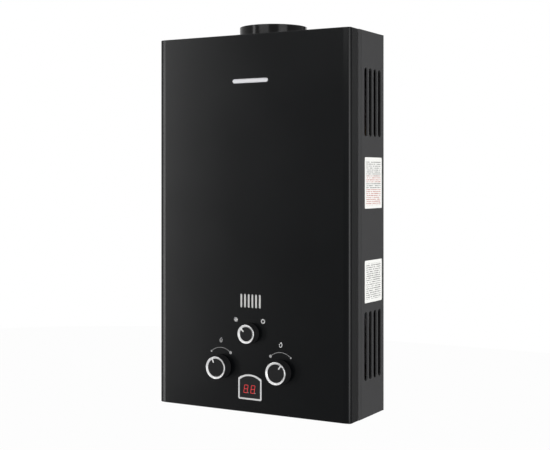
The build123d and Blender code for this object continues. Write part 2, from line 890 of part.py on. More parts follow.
with BuildPart() as burner_frame:
    block((-chamber_x, chamber_y, burner_foot_z), (chamber_x, chamber_back, chamber_foot_z))
    block(
        (sheet - chamber_x, chamber_y + sheet, burner_foot_z),
        (chamber_x - sheet, chamber_back - sheet, chamber_foot_z),
        mode=Mode.SUBTRACT,
    )
    for near_y, far_y in (
        (chamber_y + sheet, chamber_y + sheet + rail_depth),
        (chamber_back - sheet - rail_depth, chamber_back - sheet),
    ):
        block(
            (sheet - chamber_x, near_y, blade_foot_z - rail_thickness),
            (chamber_x - sheet, far_y, blade_foot_z),
        )
    for x in blade_rows:
        bar((x, chamber_y, jet_z), (x, chamber_y + sheet, jet_z), jet_radius + jet_hole_play, Mode.SUBTRACT)
save(burner_frame, "burner_frame")

with BuildPart() as burner_blades:
    blade_front_y = chamber_y + sheet + blade_gap
    blade_back_y = chamber_back - sheet - blade_gap
    half_blade = [
        (blade_foot / 2, blade_foot_z),
        (blade_foot / 2, blade_foot_z + blade_foot_height),
        (blade_neck / 2, blade_foot_z + blade_neck_rise),
        (blade_head / 2, blade_foot_z + blade_head_rise),
        (blade_head / 2, port_z),
    ]
    for x in blade_rows:
        right_edge = [(x + half, z) for half, z in half_blade]
        left_edge = [(x - half, z) for half, z in reversed(half_blade)]
        with BuildSketch(front_plane(blade_back_y)):
            Polygon(*right_edge, *left_edge, align=None)
        extrude(amount=blade_back_y - blade_front_y)
        bar((x, blade_front_y, jet_z), (x, blade_front_y + inlet_depth, jet_z), inlet_radius, Mode.SUBTRACT)
save(burner_blades, "burner_blades")

with BuildPart() as gas_manifold:
    manifold_x = chamber_x - manifold_end
    manifold_top_z = season_z + manifold_height / 2
    block((-manifold_x, manifold_y, manifold_foot_z), (manifold_x, chamber_y, manifold_top_z))
    bar((0, manifold_y, season_z), (0, season_boss_y, season_z), season_boss_radius)
    bar(
        (0, season_boss_y, season_z),
        (0, season_plug_end_y + plug_end_gap, season_z),
        season_plug_radius + run_clearance,
        Mode.SUBTRACT,
    )
    for x in blade_rows:
        bar((x, chamber_y, jet_z), (x, chamber_y - jet_depth, jet_z), jet_radius + jet_play, Mode.SUBTRACT)
save(gas_manifold, "gas_manifold")

with BuildPart() as gas_jets:
    for x in blade_rows:
        bar((x, chamber_y - jet_depth, jet_z), (x, chamber_y + jet_reach, jet_z), jet_radius)
        bar((x, chamber_y - jet_depth, jet_z), (x, chamber_y + jet_reach, jet_z), jet_orifice, Mode.SUBTRACT)
save(gas_jets, "gas_jets")

manifold_run_z = burner_foot_z - manifold_pipe_gap - manifold_pipe_radius
manifold_route = [
    (-knob_x, valve_front_y + plug_radius, valve_top_z),
    (-knob_x, valve_front_y + plug_radius, manifold_run_z),
    (-knob_x, manifold_pipe_y, manifold_run_z),
    (-knob_x, manifold_pipe_y, manifold_foot_z),
]
with BuildPart() as manifold_pipe:
    add(bent_tube(manifold_route, manifold_pipe_radius, manifold_pipe_bend, coil_wall))
save(manifold_pipe, "manifold_pipe")

# Gas and water valves


def plug_bore(x):
    """Cut the bore of a spindle's plug into the valve being made."""
    bar(
        (x, boss_y, knob_z),
        (x, plug_end_y + plug_end_gap, knob_z),
        plug_radius + run_clearance,
        Mode.SUBTRACT,
    )


with BuildPart() as gas_valve_body:
    block(
        (-valve_outer_x, valve_front_y, valve_foot_z),
        (-valve_inner_x, valve_back_y, valve_top_z),
    )
    bar((-knob_x, valve_front_y, knob_z), (-knob_x, boss_y, knob_z), valve_boss_radius)
    plug_bore(-knob_x)
    bar((-valve_outer_x, rod_y, rod_z), (seat_x, rod_y, rod_z), disc_bore_radius, Mode.SUBTRACT)
    bar((seat_x, rod_y, rod_z), (-valve_inner_x, rod_y, rod_z), seat_radius, Mode.SUBTRACT)
save(gas_valve_body, "gas_valve_body")


def clamp_screw_places():
    """Places of the diaphragm's clamp screws, across and up from the rod."""
    return PolarLocations(clamp_circle_radius, clamp_screw_count)


with BuildPart() as water_valve_body:
    block((valve_inner_x, valve_front_y, valve_foot_z), (valve_outer_x, valve_back_y, valve_top_z))
    bar((knob_x, valve_front_y, knob_z), (knob_x, boss_y, knob_z), valve_boss_radius)
    bar((diaphragm_x, rod_y, rod_z), (valve_inner_x, rod_y, rod_z), diaphragm_radius)
    bar(
        (diaphragm_x, rod_y, rod_z),
        (diaphragm_x + diaphragm_flange_depth, rod_y, rod_z),
        diaphragm_chamber,
        Mode.SUBTRACT,
    )
    plug_bore(knob_x)
    bar(
        (knob_x, drain_y, valve_foot_z),
        (knob_x, drain_y, valve_foot_z + drain_spigot + plug_end_gap),
        drain_spigot_radius + run_clearance,
        Mode.SUBTRACT,
    )
    clamp_depth = yoke_x + clamp_screw_length - diaphragm_x + plug_end_gap
    with BuildSketch(side_plane(diaphragm_x)):
        with Locations((rod_y, rod_z)):
            with clamp_screw_places():
                Circle(clamp_screw_radius + screw_play)
    extrude(amount=clamp_depth, mode=Mode.SUBTRACT)
save(water_valve_body, "water_valve_body")

with BuildPart() as diaphragm:
    with BuildSketch(side_plane(diaphragm_cover_x)):
        with Locations((rod_y, rod_z)):
            Circle(diaphragm_radius)
            with clamp_screw_places():
                Circle(clamp_screw_radius + screw_play, mode=Mode.SUBTRACT)
    extrude(amount=diaphragm_thickness)
save(diaphragm, "diaphragm")

with BuildPart() as diaphragm_cover:
    with BuildSketch(side_plane(yoke_x)):
        with Locations((rod_y, rod_z)):
            Circle(diaphragm_radius)
            Circle(rod_radius + run_clearance, mode=Mode.SUBTRACT)
            with clamp_screw_places():
                Circle(clamp_screw_radius + screw_play, mode=Mode.SUBTRACT)
    extrude(amount=diaphragm_cover_depth)
    bar(
        (yoke_x + diaphragm_cover_wall, rod_y, rod_z),
        (diaphragm_cover_x, rod_y, rod_z),
        diaphragm_chamber,
        Mode.SUBTRACT,
    )
save(diaphragm_cover, "diaphragm_cover")

with BuildPart() as diaphragm_screws:
    for spot in range(clamp_screw_count):
        angle = radians(spot * 360 / clamp_screw_count)
        seat = (
            yoke_x,
            rod_y + clamp_circle_radius * cos(angle),
            rod_z + clamp_circle_radius * sin(angle),
        )
        screw(
            seat,
            (-1, 0, 0),
            clamp_screw_radius,
            clamp_screw_length,
            clamp_screw_head,
            clamp_screw_head_height,
        )
save(diaphragm_screws, "diaphragm_screws")

with BuildPart() as linkage_rod:
    bar((disc_x, rod_y, rod_z), (diaphragm_cover_x, rod_y, rod_z), rod_radius)
    bar((disc_x, rod_y, rod_z), (seat_x, rod_y, rod_z), disc_radius)
    bar((diaphragm_cover_x - plate_thickness, rod_y, rod_z), (diaphragm_cover_x, rod_y, rod_z), plate_radius)
    block(
        (arm_left_x, rod_y - arm_width / 2, rod_z),
        (arm_left_x + arm_thickness, rod_y + arm_width / 2, rod_z + arm_height),
    )
save(linkage_rod, "linkage_rod")

with BuildPart() as linkage_yoke:
    bar((-valve_inner_x, rod_y, rod_z), (yoke_x, rod_y, rod_z), yoke_radius)
    block(
        (switch_x - switch_length, rod_y - switch_width / 2, yoke_top_z - yoke_pad),
        (switch_x, rod_y + switch_width / 2, yoke_top_z),
    )
    bar((-valve_inner_x, rod_y, rod_z), (yoke_x, rod_y, rod_z), yoke_bore, Mode.SUBTRACT)
    block(
        (arm_left_x - rod_travel - arm_play, rod_y - arm_width / 2 - arm_play, rod_z),
        (arm_left_x + arm_thickness + arm_play, rod_y + arm_width / 2 + arm_play, yoke_top_z),
        mode=Mode.SUBTRACT,
    )
save(linkage_yoke, "linkage_yoke")

with BuildPart() as microswitch:
    block(
        (switch_x - switch_length, rod_y - switch_width / 2, yoke_top_z),
        (switch_x, rod_y + switch_width / 2, yoke_top_z + switch_height),
    )
    bar(
        (switch_x, rod_y, plunger_z),
        (switch_x - plunger_hold - rod_travel - plug_end_gap, rod_y, plunger_z),
        plunger_radius + run_clearance,
        Mode.SUBTRACT,
    )
save(microswitch, "microswitch")

with BuildPart() as switch_plunger:
    bar(
        (switch_x - plunger_hold, rod_y, plunger_z),
        (arm_left_x - plunger_gap, rod_y, plunger_z),
        plunger_radius,
    )
save(switch_plunger, "switch_plunger")

with BuildPart() as gas_solenoid:
    bar((-valve_outer_x - solenoid_length, rod_y, rod_z), (-valve_outer_x, rod_y, rod_z), solenoid_radius)
    bar((-valve_outer_x, rod_y, rod_z), (spring_x, rod_y, rod_z), disc_bore_radius - solenoid_play)
save(gas_solenoid, "gas_solenoid")

with BuildPart() as valve_spring:
    bar((spring_x, rod_y, rod_z), (disc_x, rod_y, rod_z), spring_radius)
    bar((spring_x, rod_y, rod_z), (disc_x, rod_y, rod_z), spring_radius - spring_wall, Mode.SUBTRACT)
save(valve_spring, "valve_spring")

# Knobs, their rings and their spindles

with BuildPart() as spindle_glands:
    for x, z, face_y, spigot_radius in (
        (-knob_x, knob_z, boss_y, plug_radius),
        (knob_x, knob_z, boss_y, plug_radius),
        (0, season_z, season_boss_y, season_plug_radius),
    ):
        hexagon((x, face_y, z), (x, face_y - gland_height, z), gland_width)
        bar((x, face_y, z), (x, face_y + gland_spigot, z), spigot_radius)
        bar(
            (x, face_y - gland_height, z),
            (x, face_y + gland_spigot, z),
            spindle_radius + run_clearance,
            Mode.SUBTRACT,
        )
save(spindle_glands, "spindle_glands")


def control(name, x, z, ring_radius, ring_hole, rise, pointer, seat_y, plug, end_y):
    """One control: its knob, the bright ring with its pointer, and the spindle with its plug."""
    seat = rise - ring_height
    face = seat + ring_seat
    profile_plane = Plane(origin=(x, front_y, z), x_dir=(1, 0, 0), z_dir=(0, 0, -1))
    axis = Axis((x, front_y, z), (0, -1, 0))

    with BuildPart() as knob:
        with BuildSketch(profile_plane) as outline:
            Polygon(
                (0, knob_gap),
                (ring_radius + knob_draft, knob_gap),
                (ring_radius, seat),
                (ring_hole - ring_play, seat),
                (ring_hole - ring_play, face),
                (0, face),
                align=None,
            )
            fillet(outline.vertices().sort_by(Axis.X)[-1], knob_edge_radius)
        revolve(axis=axis)
        bar(
            (x, front_y - knob_gap, z),
            (x, front_y - spindle_reach - spindle_end_gap, z),
            spindle_radius + run_clearance,
            Mode.SUBTRACT,
        )
    save(knob, f"{name}_knob")

    with BuildPart() as ring:
        with BuildSketch(profile_plane) as section:
            Polygon(
                (ring_hole, seat), (ring_radius, seat), (ring_radius, rise), (ring_hole, face), align=None
            )
            fillet(section.vertices().sort_by(Axis.Y)[-1], ring_edge)
        revolve(axis=axis)
        with BuildSketch(front_plane(front_y - face)):
            reach = ring_hole + pointer_root - pointer_length / 2
            turn = radians(pointer)
            with Locations(Location((x + reach * sin(turn), z + reach * cos(turn)), -pointer)):
                Rectangle(pointer_width, pointer_length)
        extrude(amount=pointer_height)
    save(ring, f"{name}_knob_ring")

    with BuildPart() as spindle:
        plug_y = seat_y + gland_spigot + plug_end_gap
        bar((x, plug_y, z), (x, end_y, z), plug)
        bar((x, plug_y, z), (x, front_y - spindle_reach, z), spindle_radius)
    save(spindle, f"{name}_spindle")


big_knob = (knob_ring_radius, knob_ring_hole, knob_rise)
small_knob = (season_ring_radius, season_ring_hole, season_rise)
control("gas", -knob_x, knob_z, *big_knob, gas_pointer, boss_y, plug_radius, plug_end_y)
control("water", knob_x, knob_z, *big_knob, water_pointer, boss_y, plug_radius, plug_end_y)
control(
    "season", 0, season_z, *small_knob, season_pointer, season_boss_y, season_plug_radius, season_plug_end_y
)

# Connections under the case


def fitting(node, x, neck_radius, neck_z):
    """A threaded stub below the bottom panel, with its hexagon and its neck above."""
    stub_top_z = bottom_z - stub_neck
    hexagon_top_z = bottom_inner_z + fitting_height
    with BuildPart() as piece:
        bar((x, pipe_y, stub_top_z), (x, pipe_y, stub_end_z), stub_radius)
        chamfer(piece.edges().sort_by(Axis.Z)[0], stub_chamfer)
        bar((x, pipe_y, bottom_inner_z), (x, pipe_y, stub_top_z), stub_neck_radius)
        hexagon((x, pipe_y, bottom_inner_z), (x, pipe_y, hexagon_top_z), fitting_width)
        bar((x, pipe_y, hexagon_top_z), (x, pipe_y, neck_z), neck_radius)
        bar((x, pipe_y, stub_end_z), (x, pipe_y, bottom_inner_z), stub_bore, Mode.SUBTRACT)
        bar((x, pipe_y, bottom_inner_z), (x, pipe_y, neck_z), fitting_bore, Mode.SUBTRACT)
    save(piece, node)


fitting("gas_inlet", -knob_x, fitting_neck, valve_foot_z)
fitting("cold_water_inlet", knob_x, fitting_neck, valve_foot_z)
fitting("hot_water_outlet", hot_x, coil_radius, hot_neck_z)

with BuildPart() as drain_plug:
    cap_top_z = bottom_z - drain_cap_drop
    cap_foot_z = cap_top_z - drain_cap_height
    bar((knob_x, drain_y, valve_foot_z + drain_spigot), (knob_x, drain_y, valve_foot_z), drain_spigot_radius)
    bar((knob_x, drain_y, valve_foot_z), (knob_x, drain_y, cap_top_z), drain_radius)
    bar((knob_x, drain_y, cap_top_z), (knob_x, drain_y, cap_foot_z), drain_cap_radius)
    with BuildSketch(Plane.XY.offset(cap_foot_z)):
        with Locations((knob_x, drain_y)):
            with PolarLocations(drain_cap_radius, drain_groove_count):
                Circle(drain_groove_radius)
    extrude(amount=drain_cap_height, mode=Mode.SUBTRACT)
save(drain_plug, "drain_plug")

# Electrodes, thermostat and control box

with BuildPart() as electrode_bracket:
    shelf_x = electrode_x + shelf_side
    block((-shelf_x, chamber_y - sheet, shelf_z), (shelf_x, chamber_y, shelf_z + shelf_upright))
    block(
        (-shelf_x, electrode_y - shelf_margin, shelf_z),
        (shelf_x, chamber_y, shelf_z + shelf_thickness),
    )
    for x in (-electrode_x, electrode_x):
        bar(
            (x, electrode_y, shelf_z),
            (x, electrode_y, shelf_z + shelf_thickness),
            electrode_radius + electrode_play,
            Mode.SUBTRACT,
        )
save(electrode_bracket, "electrode_bracket")

with BuildPart() as electrode_insulators:
    collar_z = shelf_z + shelf_thickness
    for x in (-electrode_x, electrode_x):
        bar(
            (x, electrode_y, electrode_foot_z),
            (x, electrode_y, electrode_top_z),
            electrode_radius,
        )
        bar(
            (x, electrode_y, collar_z),
            (x, electrode_y, collar_z + electrode_collar_height),
            electrode_collar_radius,
        )
save(electrode_insulators, "electrode_insulators")

with BuildPart() as electrode_wires:
    for x in (-electrode_x, electrode_x):
        wire_route = [
            (x, electrode_y, electrode_top_z),
            (x, electrode_y, electrode_top_z + wire_rise),
            (x, electrode_y + wire_reach, electrode_top_z + wire_rise),
        ]
        add(bent_tube(wire_route, wire_radius, wire_bend))
save(electrode_wires, "electrode_wires")

with BuildPart() as overheat_thermostat:
    middle_y = (chamber_y + chamber_back) / 2
    bar(
        (chamber_x, middle_y, thermostat_z),
        (chamber_x + thermostat_height, middle_y, thermostat_z),
        thermostat_radius,
    )
save(overheat_thermostat, "overheat_thermostat")

with BuildPart() as control_box:
    block(
        (-side_x, control_front_y, control_foot_z),
        (control_width - side_x, control_back_y, control_foot_z + control_height),
    )
    fillet(control_box.faces().sort_by(Axis.X)[-1].edges(), control_edge_radius)
save(control_box, "control_box")

# Batteries

with BuildPart() as battery_box:
    block(
        (battery_x - battery_half, battery_front, mouth_z),
        (battery_x + battery_half, battery_back, battery_top_z),
    )
    block(
        (battery_x - battery_half - battery_flange, battery_front - battery_flange, mouth_z),
        (battery_x + battery_half + battery_flange, hinge_y + hinge_ear, bottom_z),
    )
    for side in (-1, 1):
        inner = battery_x + side * hinge_spread
        outer = inner + side * hinge_ear_width
        block(
            (inner, hinge_y - hinge_ear, hinge_z - hinge_ear),
            (outer, hinge_y + hinge_ear, mouth_z),
        )
        bar(
            (inner, hinge_y, hinge_z),
            (outer, hinge_y, hinge_z),
            hinge_pin_radius + run_clearance,
            Mode.SUBTRACT,
        )
    block(
        (battery_x - bay_half, battery_y - bay_half, mouth_z),
        (battery_x + bay_half, battery_y + bay_half, bay_top_z),
        mode=Mode.SUBTRACT,
    )
save(battery_box, "battery_box")

with BuildPart() as batteries:
    for cell in range(2):
        cell_z = mouth_z + cell_foot + cell * cell_pitch
        nub_z = cell_z + cell_length
        bar((battery_x, battery_y, cell_z), (battery_x, battery_y, nub_z), cell_radius)
        bar(
            (battery_x, battery_y, nub_z),
            (battery_x, battery_y, nub_z + cell_nub_height),
            cell_nub_radius,
        )
save(batteries, "batteries")

with BuildPart() as battery_lid:
    lid_top_z = mouth_z - lid_gap
    lid_foot_z = lid_top_z - lid_thickness
    lid_front = battery_front - battery_flange
    lid_back = hinge_y - hinge_ear - lid_margin
    lid_half = battery_half + battery_flange - lid_margin
    barrel_half = hinge_spread - hinge_play
    pin_half = hinge_spread + hinge_ear_width + fit_gap
    block((battery_x - lid_half, lid_front, lid_foot_z), (battery_x + lid_half, lid_back, lid_top_z))
    block(
        (battery_x - barrel_half, lid_back, lid_foot_z),
        (battery_x + barrel_half, hinge_y, hinge_z + hinge_barrel / 2),
    )
    bar(
        (battery_x - barrel_half, hinge_y, hinge_z),
        (battery_x + barrel_half, hinge_y, hinge_z),
        hinge_barrel,
    )
    bar((battery_x - pin_half, hinge_y, hinge_z), (battery_x + pin_half, hinge_y, hinge_z), hinge_pin_radius)
    block(
        (battery_x - grip_width / 2, lid_front, lid_foot_z - grip_height),
        (battery_x + grip_width / 2, lid_front + grip_depth, lid_foot_z),
    )
save(battery_lid, "battery_lid")

# Sight pane and display

with BuildPart() as sight_pane:
    pane_width = sight_count * (sight_width + sight_land) - sight_land + 2 * pane_margin
    with BuildSketch(front_plane(inner_y)):
        with Locations((0, sight_z)):
            Rectangle(pane_width, sight_length + 2 * pane_margin)
    extrude(amount=-pane_thickness)
save(sight_pane, "sight_pane")

with BuildPart() as display_bezel:
    with BuildSketch(front_plane(front_y)):
        display_outline(0)
    extrude(amount=bezel_rise)
    with BuildSketch(front_plane(front_y)):
        display_outline(bezel_width - bezel_spigot_wall)
    extrude(amount=-bezel_spigot)
    with BuildSketch(front_plane(front_y - bezel_rise)):
        display_outline(bezel_width)
    extrude(amount=-(bezel_rise + bezel_spigot), mode=Mode.SUBTRACT)
save(display_bezel, "display_bezel")

with BuildPart() as display_window:
    with BuildSketch(front_plane(front_y - window_rise)):
        display_outline(bezel_width + window_play)
    extrude(amount=-window_thickness)
save(display_window, "display_window")

with BuildPart() as display_board:
    block(
        (-digit_block_width / 2, window_back_y, display_z - digit_block_height / 2),
        (digit_block_width / 2, board_y, display_z + digit_block_height / 2),
    )
    block(
        (-board_width / 2, board_y, display_z - board_height / 2),
        (board_width / 2, board_y + board_thickness, display_z + board_height / 2),
    )
save(display_board, "display_board")

# Leads from the control box, clear of the pipes and valves

ignition_route = [
    (lead_x, control_y, control_foot_z),
    (lead_x, control_y, control_foot_z - lead_drop),
    (lead_x, electrode_y, ignition_run_z),
    (-electrode_x, electrode_y, ignition_run_z),
    (-electrode_x, electrode_y, electrode_foot_z),
]
display_route = [
    (lead_x + lead_spread, control_y - lead_spread, control_foot_z),
    (lead_x + lead_spread, control_y - lead_spread, burner_foot_z - lead_clear),
    (lead_x + lead_spread, boss_y - lead_clear, display_z),
    (-board_width / 4, boss_y - lead_clear, display_z),
    (-board_width / 4, board_y + board_thickness, display_z),
]
battery_route = [
    (lead_x, control_y + lead_spread, control_foot_z),
    (lead_x, control_y + lead_spread, control_foot_z - lead_drop),
    (-lead_tray_x, lead_back_y, battery_run_z),
    (battery_x, lead_back_y, battery_run_z),
    (battery_x, battery_back, battery_run_z),
]
with BuildPart() as leads:
    for route in (ignition_route, display_route, battery_route):
        add(bent_tube(route, lead_radius, lead_bends(route)))
save(leads, "leads")
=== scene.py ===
import math

import bmesh
import bpy
from bpy.props import FloatProperty, FloatVectorProperty, IntProperty, PointerProperty
from mathutils import Matrix, Quaternion, Vector


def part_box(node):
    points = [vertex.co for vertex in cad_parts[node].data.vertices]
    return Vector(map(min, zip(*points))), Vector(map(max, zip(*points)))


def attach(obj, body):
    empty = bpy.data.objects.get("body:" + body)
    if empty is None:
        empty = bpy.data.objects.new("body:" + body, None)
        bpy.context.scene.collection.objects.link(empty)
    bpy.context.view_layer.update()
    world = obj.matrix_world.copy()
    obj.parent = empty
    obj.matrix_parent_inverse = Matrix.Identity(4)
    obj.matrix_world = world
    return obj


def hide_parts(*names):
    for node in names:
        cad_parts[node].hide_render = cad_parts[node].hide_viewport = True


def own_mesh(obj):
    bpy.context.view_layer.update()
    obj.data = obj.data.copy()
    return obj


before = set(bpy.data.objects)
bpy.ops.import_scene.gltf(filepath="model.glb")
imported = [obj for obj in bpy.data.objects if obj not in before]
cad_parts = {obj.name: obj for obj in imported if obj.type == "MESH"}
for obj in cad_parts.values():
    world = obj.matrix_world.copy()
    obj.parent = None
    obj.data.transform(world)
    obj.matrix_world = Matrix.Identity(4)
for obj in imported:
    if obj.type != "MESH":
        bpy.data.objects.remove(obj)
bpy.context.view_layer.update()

bl_info = {
    "name": "Wall-hung gas water heater",
    "version": (1, 0, 0),
    "blender": (4, 5, 0),
    "location": "View3D > Sidebar > Heater",
    "description": "Dresses the packed heater with its finishes, marks, display, cards and stage",
    "category": "Object",
}

MM = 0.001
WELD = 0.02 * MM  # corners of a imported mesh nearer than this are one
PIPE_PITCH = 1.814 * MM  # of a half-inch pipe thread
THREAD_LENGTH = 22.0 * MM
SMOOTH_ANGLE = math.radians(35.0)
SHARP_ANGLE = math.radians(40.0)
TIP_SHARE = 0.5  # of a screw's radius at its tip
CARD_SUNK = 0.3  # share of a card's thickness that lies in the panel
BADGE_SUNK = 0.1
DISC_RIM = 0.15  # share of a disc's radius
NEARLY = 0.99  # share of a height past which a face is at its end
LINE_SHADE = 0.36  # of the printed arcs against the marks


def middle(node):
    """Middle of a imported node's box."""
    low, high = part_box(node)
    return (low + high) / 2


def solids_in(node):
    """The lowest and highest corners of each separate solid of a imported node."""
    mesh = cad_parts[node].data
    spots = [tuple(round(part / WELD) for part in vertex.co) for vertex in mesh.vertices]
    owner = {spot: spot for spot in spots}

    def root(spot):
        while owner[spot] != spot:
            spot = owner[spot]
        return spot

    for face in mesh.polygons:
        first, *others = (spots[index] for index in face.vertices)
        for other in others:
            owner[root(other)] = root(first)
    groups = {}
    for spot, vertex in zip(spots, mesh.vertices):
        groups.setdefault(root(spot), []).append(vertex.co)
    return [
        (Vector(map(min, zip(*group))), Vector(map(max, zip(*group))))
        for _, group in sorted(groups.items())
    ]


COVER_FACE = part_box("front_cover")[0].y
RIGHT_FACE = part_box("right_side_panel")[1].x
WINDOW_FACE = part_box("display_window")[0].y
BACK_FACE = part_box("left_side_panel")[1].y
CONTROLS = ("gas", "water", "season")


# Sizes and colours

def place(name, description, mm, **limits):
    """A coordinate property, with its default given in millimetres."""
    return FloatProperty(
        name=name, description=description, default=mm * MM,
        subtype="DISTANCE", unit="LENGTH", precision=5, **limits,
    )


def length(name, description, mm):
    """A length property, which is never below nought."""
    return place(name, description, mm, min=0.0)


def turn(name, description, degrees):
    """An angle property, with its default given in degrees."""
    return FloatProperty(
        name=name, description=description, default=math.radians(degrees),
        subtype="ANGLE", unit="ROTATION",
    )


def tint(name, description, red, green, blue):
    """A colour property in linear light."""
    return FloatVectorProperty(
        name=name, description=description, default=(red, green, blue),
        min=0.0, max=1.0, size=3, subtype="COLOR",
    )


def amount(name, description, value):
    """A plain number property."""
    return FloatProperty(name=name, description=description, default=value, min=0.0)


class HeaterMarkSizes(bpy.types.PropertyGroup):
    """The marks printed on the front."""

    ink: length("Ink height", "How far the printed ink stands off the front", 0.08)
    stroke: length("Stroke", "Width of a printed line", 0.55)
    arc_radius: length("Arc radius", "Radius of the arc over a knob", 26.0)
    arc_rise: length("Arc rise", "From a knob's middle up to the middle of its arc", 4.0)
    arc_spread: turn("Arc spread", "Angle from the top of an arc to either of its ends", 43.0)
    small_dot: length("Small dot", "Radius of the dot at an arc's low end", 1.5)
    large_dot: length("Large dot", "Radius of the dot at an arc's high end", 2.3)
    flame_height: length("Flame height", "Height of the flame mark", 7.4)
    drop_height: length("Drop height", "Height of the drop mark", 8.3)
    mark_rise: length("Mark rise", "From a knob's middle up to its flame or drop", 42.0)
    season_size: length("Season mark", "Width across the snow and sun marks", 7.2)
    snow_x: length("Snow mark side", "From the season knob's middle across to the snow mark", 26.2)
    sun_x: length("Sun mark side", "From the season knob's middle across to the sun mark", 22.8)
    season_rise: length("Season mark rise", "From the season knob's middle up to either mark", 19.8)


class HeaterDisplaySizes(bpy.types.PropertyGroup):
    """The two lit digits behind the window."""

    digit_height: length("Digit height", "Height of a lit digit", 12.6)
    digit_width: length("Digit width", "Width of a lit digit, without its slant", 7.0)
    bar: length("Bar width", "Width of one lit bar", 0.66)
    pitch: length("Digit pitch", "From one digit's middle to the next", 12.6)
    slant: turn("Slant", "Lean of the digits to the right", 8.0)
    film: length("Bar height", "How far a lit bar stands off the window", 0.06)
    shift_x: place("Digits across", "From the window's middle to the digits' middle, across", -1.2)
    shift_z: place("Digits up", "From the window's middle to the digits' middle, upwards", -3.3)
    glow: tint("Glow", "Colour of the lit bars", 1.0, 0.065, 0.065)
    unlit: tint("Unlit point", "Colour of the points beside the digits", 0.42, 0.43, 0.43)


class HeaterCardSizes(bpy.types.PropertyGroup):
    """The two plain cards on the right side panel and the badge on the front."""

    width: length("Card width", "Width of either card, front to back", 62.5)
    corner: length("Card corner", "Radius of a card's corners", 2.0)
    sheet: length("Card thickness", "Thickness of a card", 0.25)
    middle_y: place("Card place", "Middle of both cards, front to back", -52.0)
    upper_z: place("Upper card", "Middle of the upper card, up and down", 62.8)
    upper_height: length("Upper card height", "Height of the upper card", 78.5)
    lower_z: place("Lower card", "Middle of the lower card, up and down", -88.3)
    lower_height: length("Lower card height", "Height of the lower card", 64.7)
    badge_z: place("Badge place", "Middle of the badge, up and down", 222.0)
    badge_width: length("Badge width", "Width of the plain badge", 64.0)
    badge_height: length("Badge height", "Height of the plain badge", 6.5)
    badge_plate: length("Badge thickness", "Thickness of the plain badge", 0.9)
    badge_rim: length("Badge rim", "Width of the raised rim of the badge", 0.65)
    badge_sunk: length("Badge recess", "How far the badge's middle lies below its rim", 0.27)
    badge_edge: length("Badge edge", "Rounding of the badge's edges", 0.12)


class HeaterScrewSizes(bpy.types.PropertyGroup):
    """The pan-head screws of the case; their head radius and places come from the frame."""

    head_height: length("Head height", "Height of a screw head", 2.2)
    crown: length("Crown", "Rounding of a head's upper edge", 1.1)
    shank: length("Shank radius", "Radius of a screw's shank", 1.9)
    arm_length: length("Recess length", "Length of one bar of the cross recess", 4.0)
    arm_width: length("Recess width", "Width of one bar of the cross recess", 0.9)
    recess: length("Recess depth", "Depth of the cross recess", 1.2)


class HeaterSpringSizes(bpy.types.PropertyGroup):
    """The spring behind the gas disc; its length, radius and place come from the frame."""

    wire: length("Wire", "Thickness of the spring's wire", 1.2)
    turns: IntProperty(name="Turns", description="Turns of the spring", default=7, min=2)
    stroke: length("Stroke", "How far the rod presses the spring together", 4.0)


class HeaterColours(bpy.types.PropertyGroup):
    """The colours of the finishes."""

    enamel: tint("Cover enamel", "Black enamel of the front cover", 0.0013, 0.0016, 0.0019)
    powder: tint("Case powder coat", "Black powder coat of the side panels", 0.042, 0.042, 0.043)
    collar: tint("Collar enamel", "Glossy black of the collar and panels", 0.0022, 0.0022, 0.0023)
    knob: tint("Knob plastic", "Dark satin plastic of the knobs", 0.009, 0.009, 0.0095)
    silver: tint("Bright trim", "Satin silver of the rings and the bezel", 0.60, 0.60, 0.60)
    window: tint("Window", "Smoked plastic of the display window", 0.009, 0.009, 0.0095)
    pane: tint("Sight pane", "Pale pane behind the sight slots", 0.50, 0.50, 0.49)
    print: tint("Printed marks", "Pale grey of the printed marks", 0.82, 0.82, 0.82)
    paper: tint("Card", "Off-white of the plain cards", 0.86, 0.86, 0.83)
    # Painted shade: the copper is set this dark so that the inside seen through the side vents
    # reads as shadow.
    copper: tint("Copper", "Heat-darkened copper of the exchanger", 0.09, 0.042, 0.026)
    brass: tint("Brass", "Brass of the valves and fittings", 0.72, 0.50, 0.20)
    zinc: tint("Zinc", "Zinc-coated sheet of the back and frames", 0.40, 0.41, 0.42)


class HeaterStageLevels(bpy.types.PropertyGroup):
    """The light and the camera."""

    world_light: amount("World light", "Strength of the even light from all round", 0.42)
    left_light: amount("Left lamp", "Watts of the tall lamp at the front left", 24.0)
    left_edge: amount("Left strip", "Watts of the strip for the left upright edge", 52.0)
    right_edge: amount("Right strip", "Watts of the strip for the right upright edge", 72.0)
    right_light: amount("Right lamp", "Watts of the lamp at the front right", 34.0)
    front_light: amount("Front lamp", "Watts of the wide lamp high in front", 18.0)
    top_light: amount("Top lamp", "Watts of the lamp overhead", 8.0)
    rear_light: amount("Rear lamp", "Watts of the lamp behind", 14.0)
    floor_z: place("Floor", "Height of the floor under the hung heater", -1300.0)
    lens: amount("Lens", "Focal length of the camera in millimetres", 72.65)


SIZES = {
    "heater_marks": HeaterMarkSizes,
    "heater_display": HeaterDisplaySizes,
    "heater_cards": HeaterCardSizes,
    "heater_screws": HeaterScrewSizes,
    "heater_spring": HeaterSpringSizes,
    "heater_colours": HeaterColours,
    "heater_stage": HeaterStageLevels,
}


# Materials

def reckoned(operation, swapped=False):
    """A method that adds one Math node; the reflected form has its two sides swapped."""
    def method(self, other):
        first, second = (other, self) if swapped else (self, other)
        return self.finish.reckon(operation, first, second)
    return method


